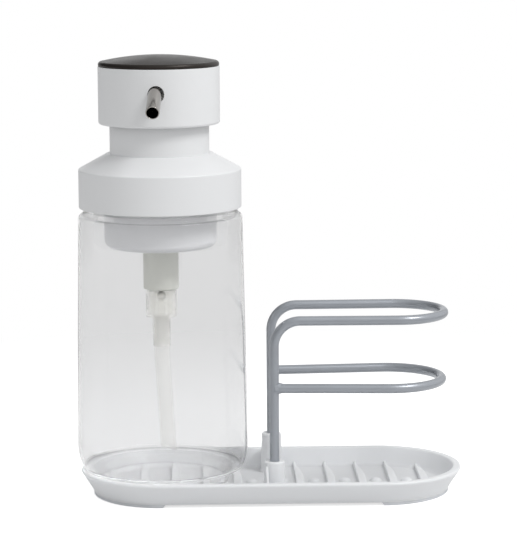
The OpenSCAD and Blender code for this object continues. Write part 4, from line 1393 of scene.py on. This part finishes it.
class CADDY_OT_stage(bpy.types.Operator):
    """Set the camera, the lamp, the surroundings and the floor"""

    bl_idname = "caddy.stage"
    bl_label = "Stage"

    def execute(self, context):
        s = piece_of("caddy_stage")
        self.camera(s)
        self.lamp(s)
        self.surroundings(s)
        self.floor(s)
        context.scene.view_settings.view_transform = "Standard"
        return {"FINISHED"}

    @staticmethod
    def camera(s):
        """Camera on a sphere about its target, rolled about its view"""
        data = bpy.data.cameras.new("Camera")
        data.sensor_fit = "AUTO"
        data.sensor_width = 36.0
        data.lens = FOCAL * data.sensor_width
        data.clip_start, data.clip_end = 0.05, 20.0
        camera = linked("Camera", data)
        back = way_to(s.azimuth, s.elevation)
        right = Vector((math.cos(s.azimuth), math.sin(s.azimuth), 0))
        up = back.cross(right)
        c, n = math.cos(s.roll), math.sin(s.roll)
        axes = Matrix((c * right + n * up, c * up - n * right, back)).transposed()
        target = Vector((s.target_x, 0, s.target_z))
        camera.matrix_world = Matrix.Translation(target + s.distance * back) @ axes.to_4x4()
        bpy.context.scene.camera = camera

    @staticmethod
    def lamp(s):
        """A square lamp that faces the middle of the caddy"""
        data = bpy.data.lights.new("Key lamp", "AREA")
        data.energy = s.key
        data.size = s.key_side
        lamp = linked("Key lamp", data)
        way = way_to(s.bearing, s.height)
        middle = Vector((0.04, 0, 0.08))
        place = Matrix.Translation(middle + s.key_far * way)
        lamp.matrix_world = place @ way.to_track_quat("Z", "Y").to_matrix().to_4x4()

    @staticmethod
    def surroundings(s):
        """White behind everything, and a soft room that is brighter at the upper right for the light"""
        world = bpy.data.worlds.new("Room")
        bpy.context.scene.world = world
        world.use_nodes = True
        f = Finish(world.node_tree)
        way = f.add("ShaderNodeTexCoord", output="Generated")
        bright = Vector((0.8, -0.3, 0.5)).normalized()
        toward = f.vector("DOT_PRODUCT", way, tuple(bright), "Value")
        # From -1, straight away from the bright side, to 1
        glow = f.grow(toward, -0.9, 0.9, s.dim, s.lit)
        shine = f.grow(toward, -0.45, 0.6, s.mirror_dim, s.mirror_lit)
        shine = f.most(shine, f.grow(f.part(way, "Y"), 0.86, 0.98))
        strength = glow + f.ray("Glossy") * (shine - glow)
        tone = f.tones(strength, (0, 0, 0), (0.99, 0.995, 1.0))
        room = f.add("ShaderNodeBackground", inputs={"Color": tone, "Strength": 1.0})
        white = f.add("ShaderNodeBackground", inputs={"Color": (1, 1, 1, 1), "Strength": 1.0})
        shown = f.most(f.ray("Camera"), f.ray("Transmission"))
        mix = f.add("ShaderNodeMixShader", inputs={0: shown, 1: room, 2: white})
        f.add("ShaderNodeOutputWorld", inputs={"Surface": mix})

    @staticmethod
    def floor(s):
        """A pale round floor that is white to the camera and keeps the caddy's soft shadow"""
        radius, corners = 6.0, 96
        a = np.linspace(0, 2 * math.pi, corners, endpoint=False)
        mesh = bpy.data.meshes.new("Floor")
        ring = grid(radius * np.cos(a), radius * np.sin(a), -HAIR)
        mesh.from_pydata(ring, [], [list(range(corners))])
        floor = linked("Floor", mesh)
        f = finish_of("Pale floor")
        place = f.add("ShaderNodeTexCoord", output="Object")
        away = f.vector("SUBTRACT", place, (TRAY_SPAN / 2, 0, 0))
        far = f.grow(f.vector("LENGTH", away, output="Value"), 0.18, 0.42)
        seen, glossy, through = f.ray("Camera"), f.ray("Glossy"), f.ray("Transmission")
        shown = f.most(seen, through)
        glow = f.most(through * s.floor_through, glossy * s.floor_mirrored)
        glow = f.most(seen * s.floor_seen, glow)
        soft = f.add("ShaderNodeBsdfDiffuse", inputs={"Color": (*s.floor_tone, 1)})
        lift = f.add("ShaderNodeEmission", inputs={"Color": glow, "Strength": 1.0})
        near = f.add("ShaderNodeAddShader", inputs={0: soft, 1: lift})
        plain = f.add("ShaderNodeEmission", inputs={"Color": 0.55 + 0.45 * shown, "Strength": 1.0})
        mix = f.add("ShaderNodeMixShader", inputs={0: far, 1: near, 2: plain})
        f.add("ShaderNodeOutputMaterial", inputs={"Surface": mix})
        mesh.materials.append(bpy.data.materials["Pale floor"])


OPERATORS = (
    CADDY_OT_finishes,
    CADDY_OT_stage,
    CADDY_OT_tray,
    CADDY_OT_feet,
    CADDY_OT_wires,
    CADDY_OT_bottle,
    CADDY_OT_collar,
    CADDY_OT_head,
    CADDY_OT_spout,
    CADDY_OT_pump,
)


class CADDY_PT_pieces(bpy.types.Panel):
    """Lists the caddy's pieces and the sizes that shape them"""

    bl_label = "Soap pump caddy"
    bl_idname = "CADDY_PT_pieces"
    bl_space_type = "VIEW_3D"
    bl_region_type = "UI"
    bl_category = "Caddy"

    def draw(self, context):
        for operator in OPERATORS:
            self.layout.operator(operator.bl_idname)
        for name, group in GROUPS.items():
            box = self.layout.box()
            box.label(text=group.__doc__)
            for key in group.__annotations__:
                box.prop(getattr(context.scene, name), key)


def register():
    """Registers the sizes, the operators and the panel"""
    for name, group in GROUPS.items():
        bpy.utils.register_class(group)
        setattr(bpy.types.Scene, name, bpy.props.PointerProperty(type=group))
    for operator in OPERATORS:
        bpy.utils.register_class(operator)
    bpy.utils.register_class(CADDY_PT_pieces)


def unregister():
    """Takes them out again"""
    bpy.utils.unregister_class(CADDY_PT_pieces)
    for operator in reversed(OPERATORS):
        bpy.utils.unregister_class(operator)
    for name, group in GROUPS.items():
        delattr(bpy.types.Scene, name)
        bpy.utils.unregister_class(group)


def main():
    """Builds every piece"""
    register()
    for operator in OPERATORS:
        group, name = operator.bl_idname.split(".")
        getattr(getattr(bpy.ops, group), name)()


if __name__ == "__main__":
    main()
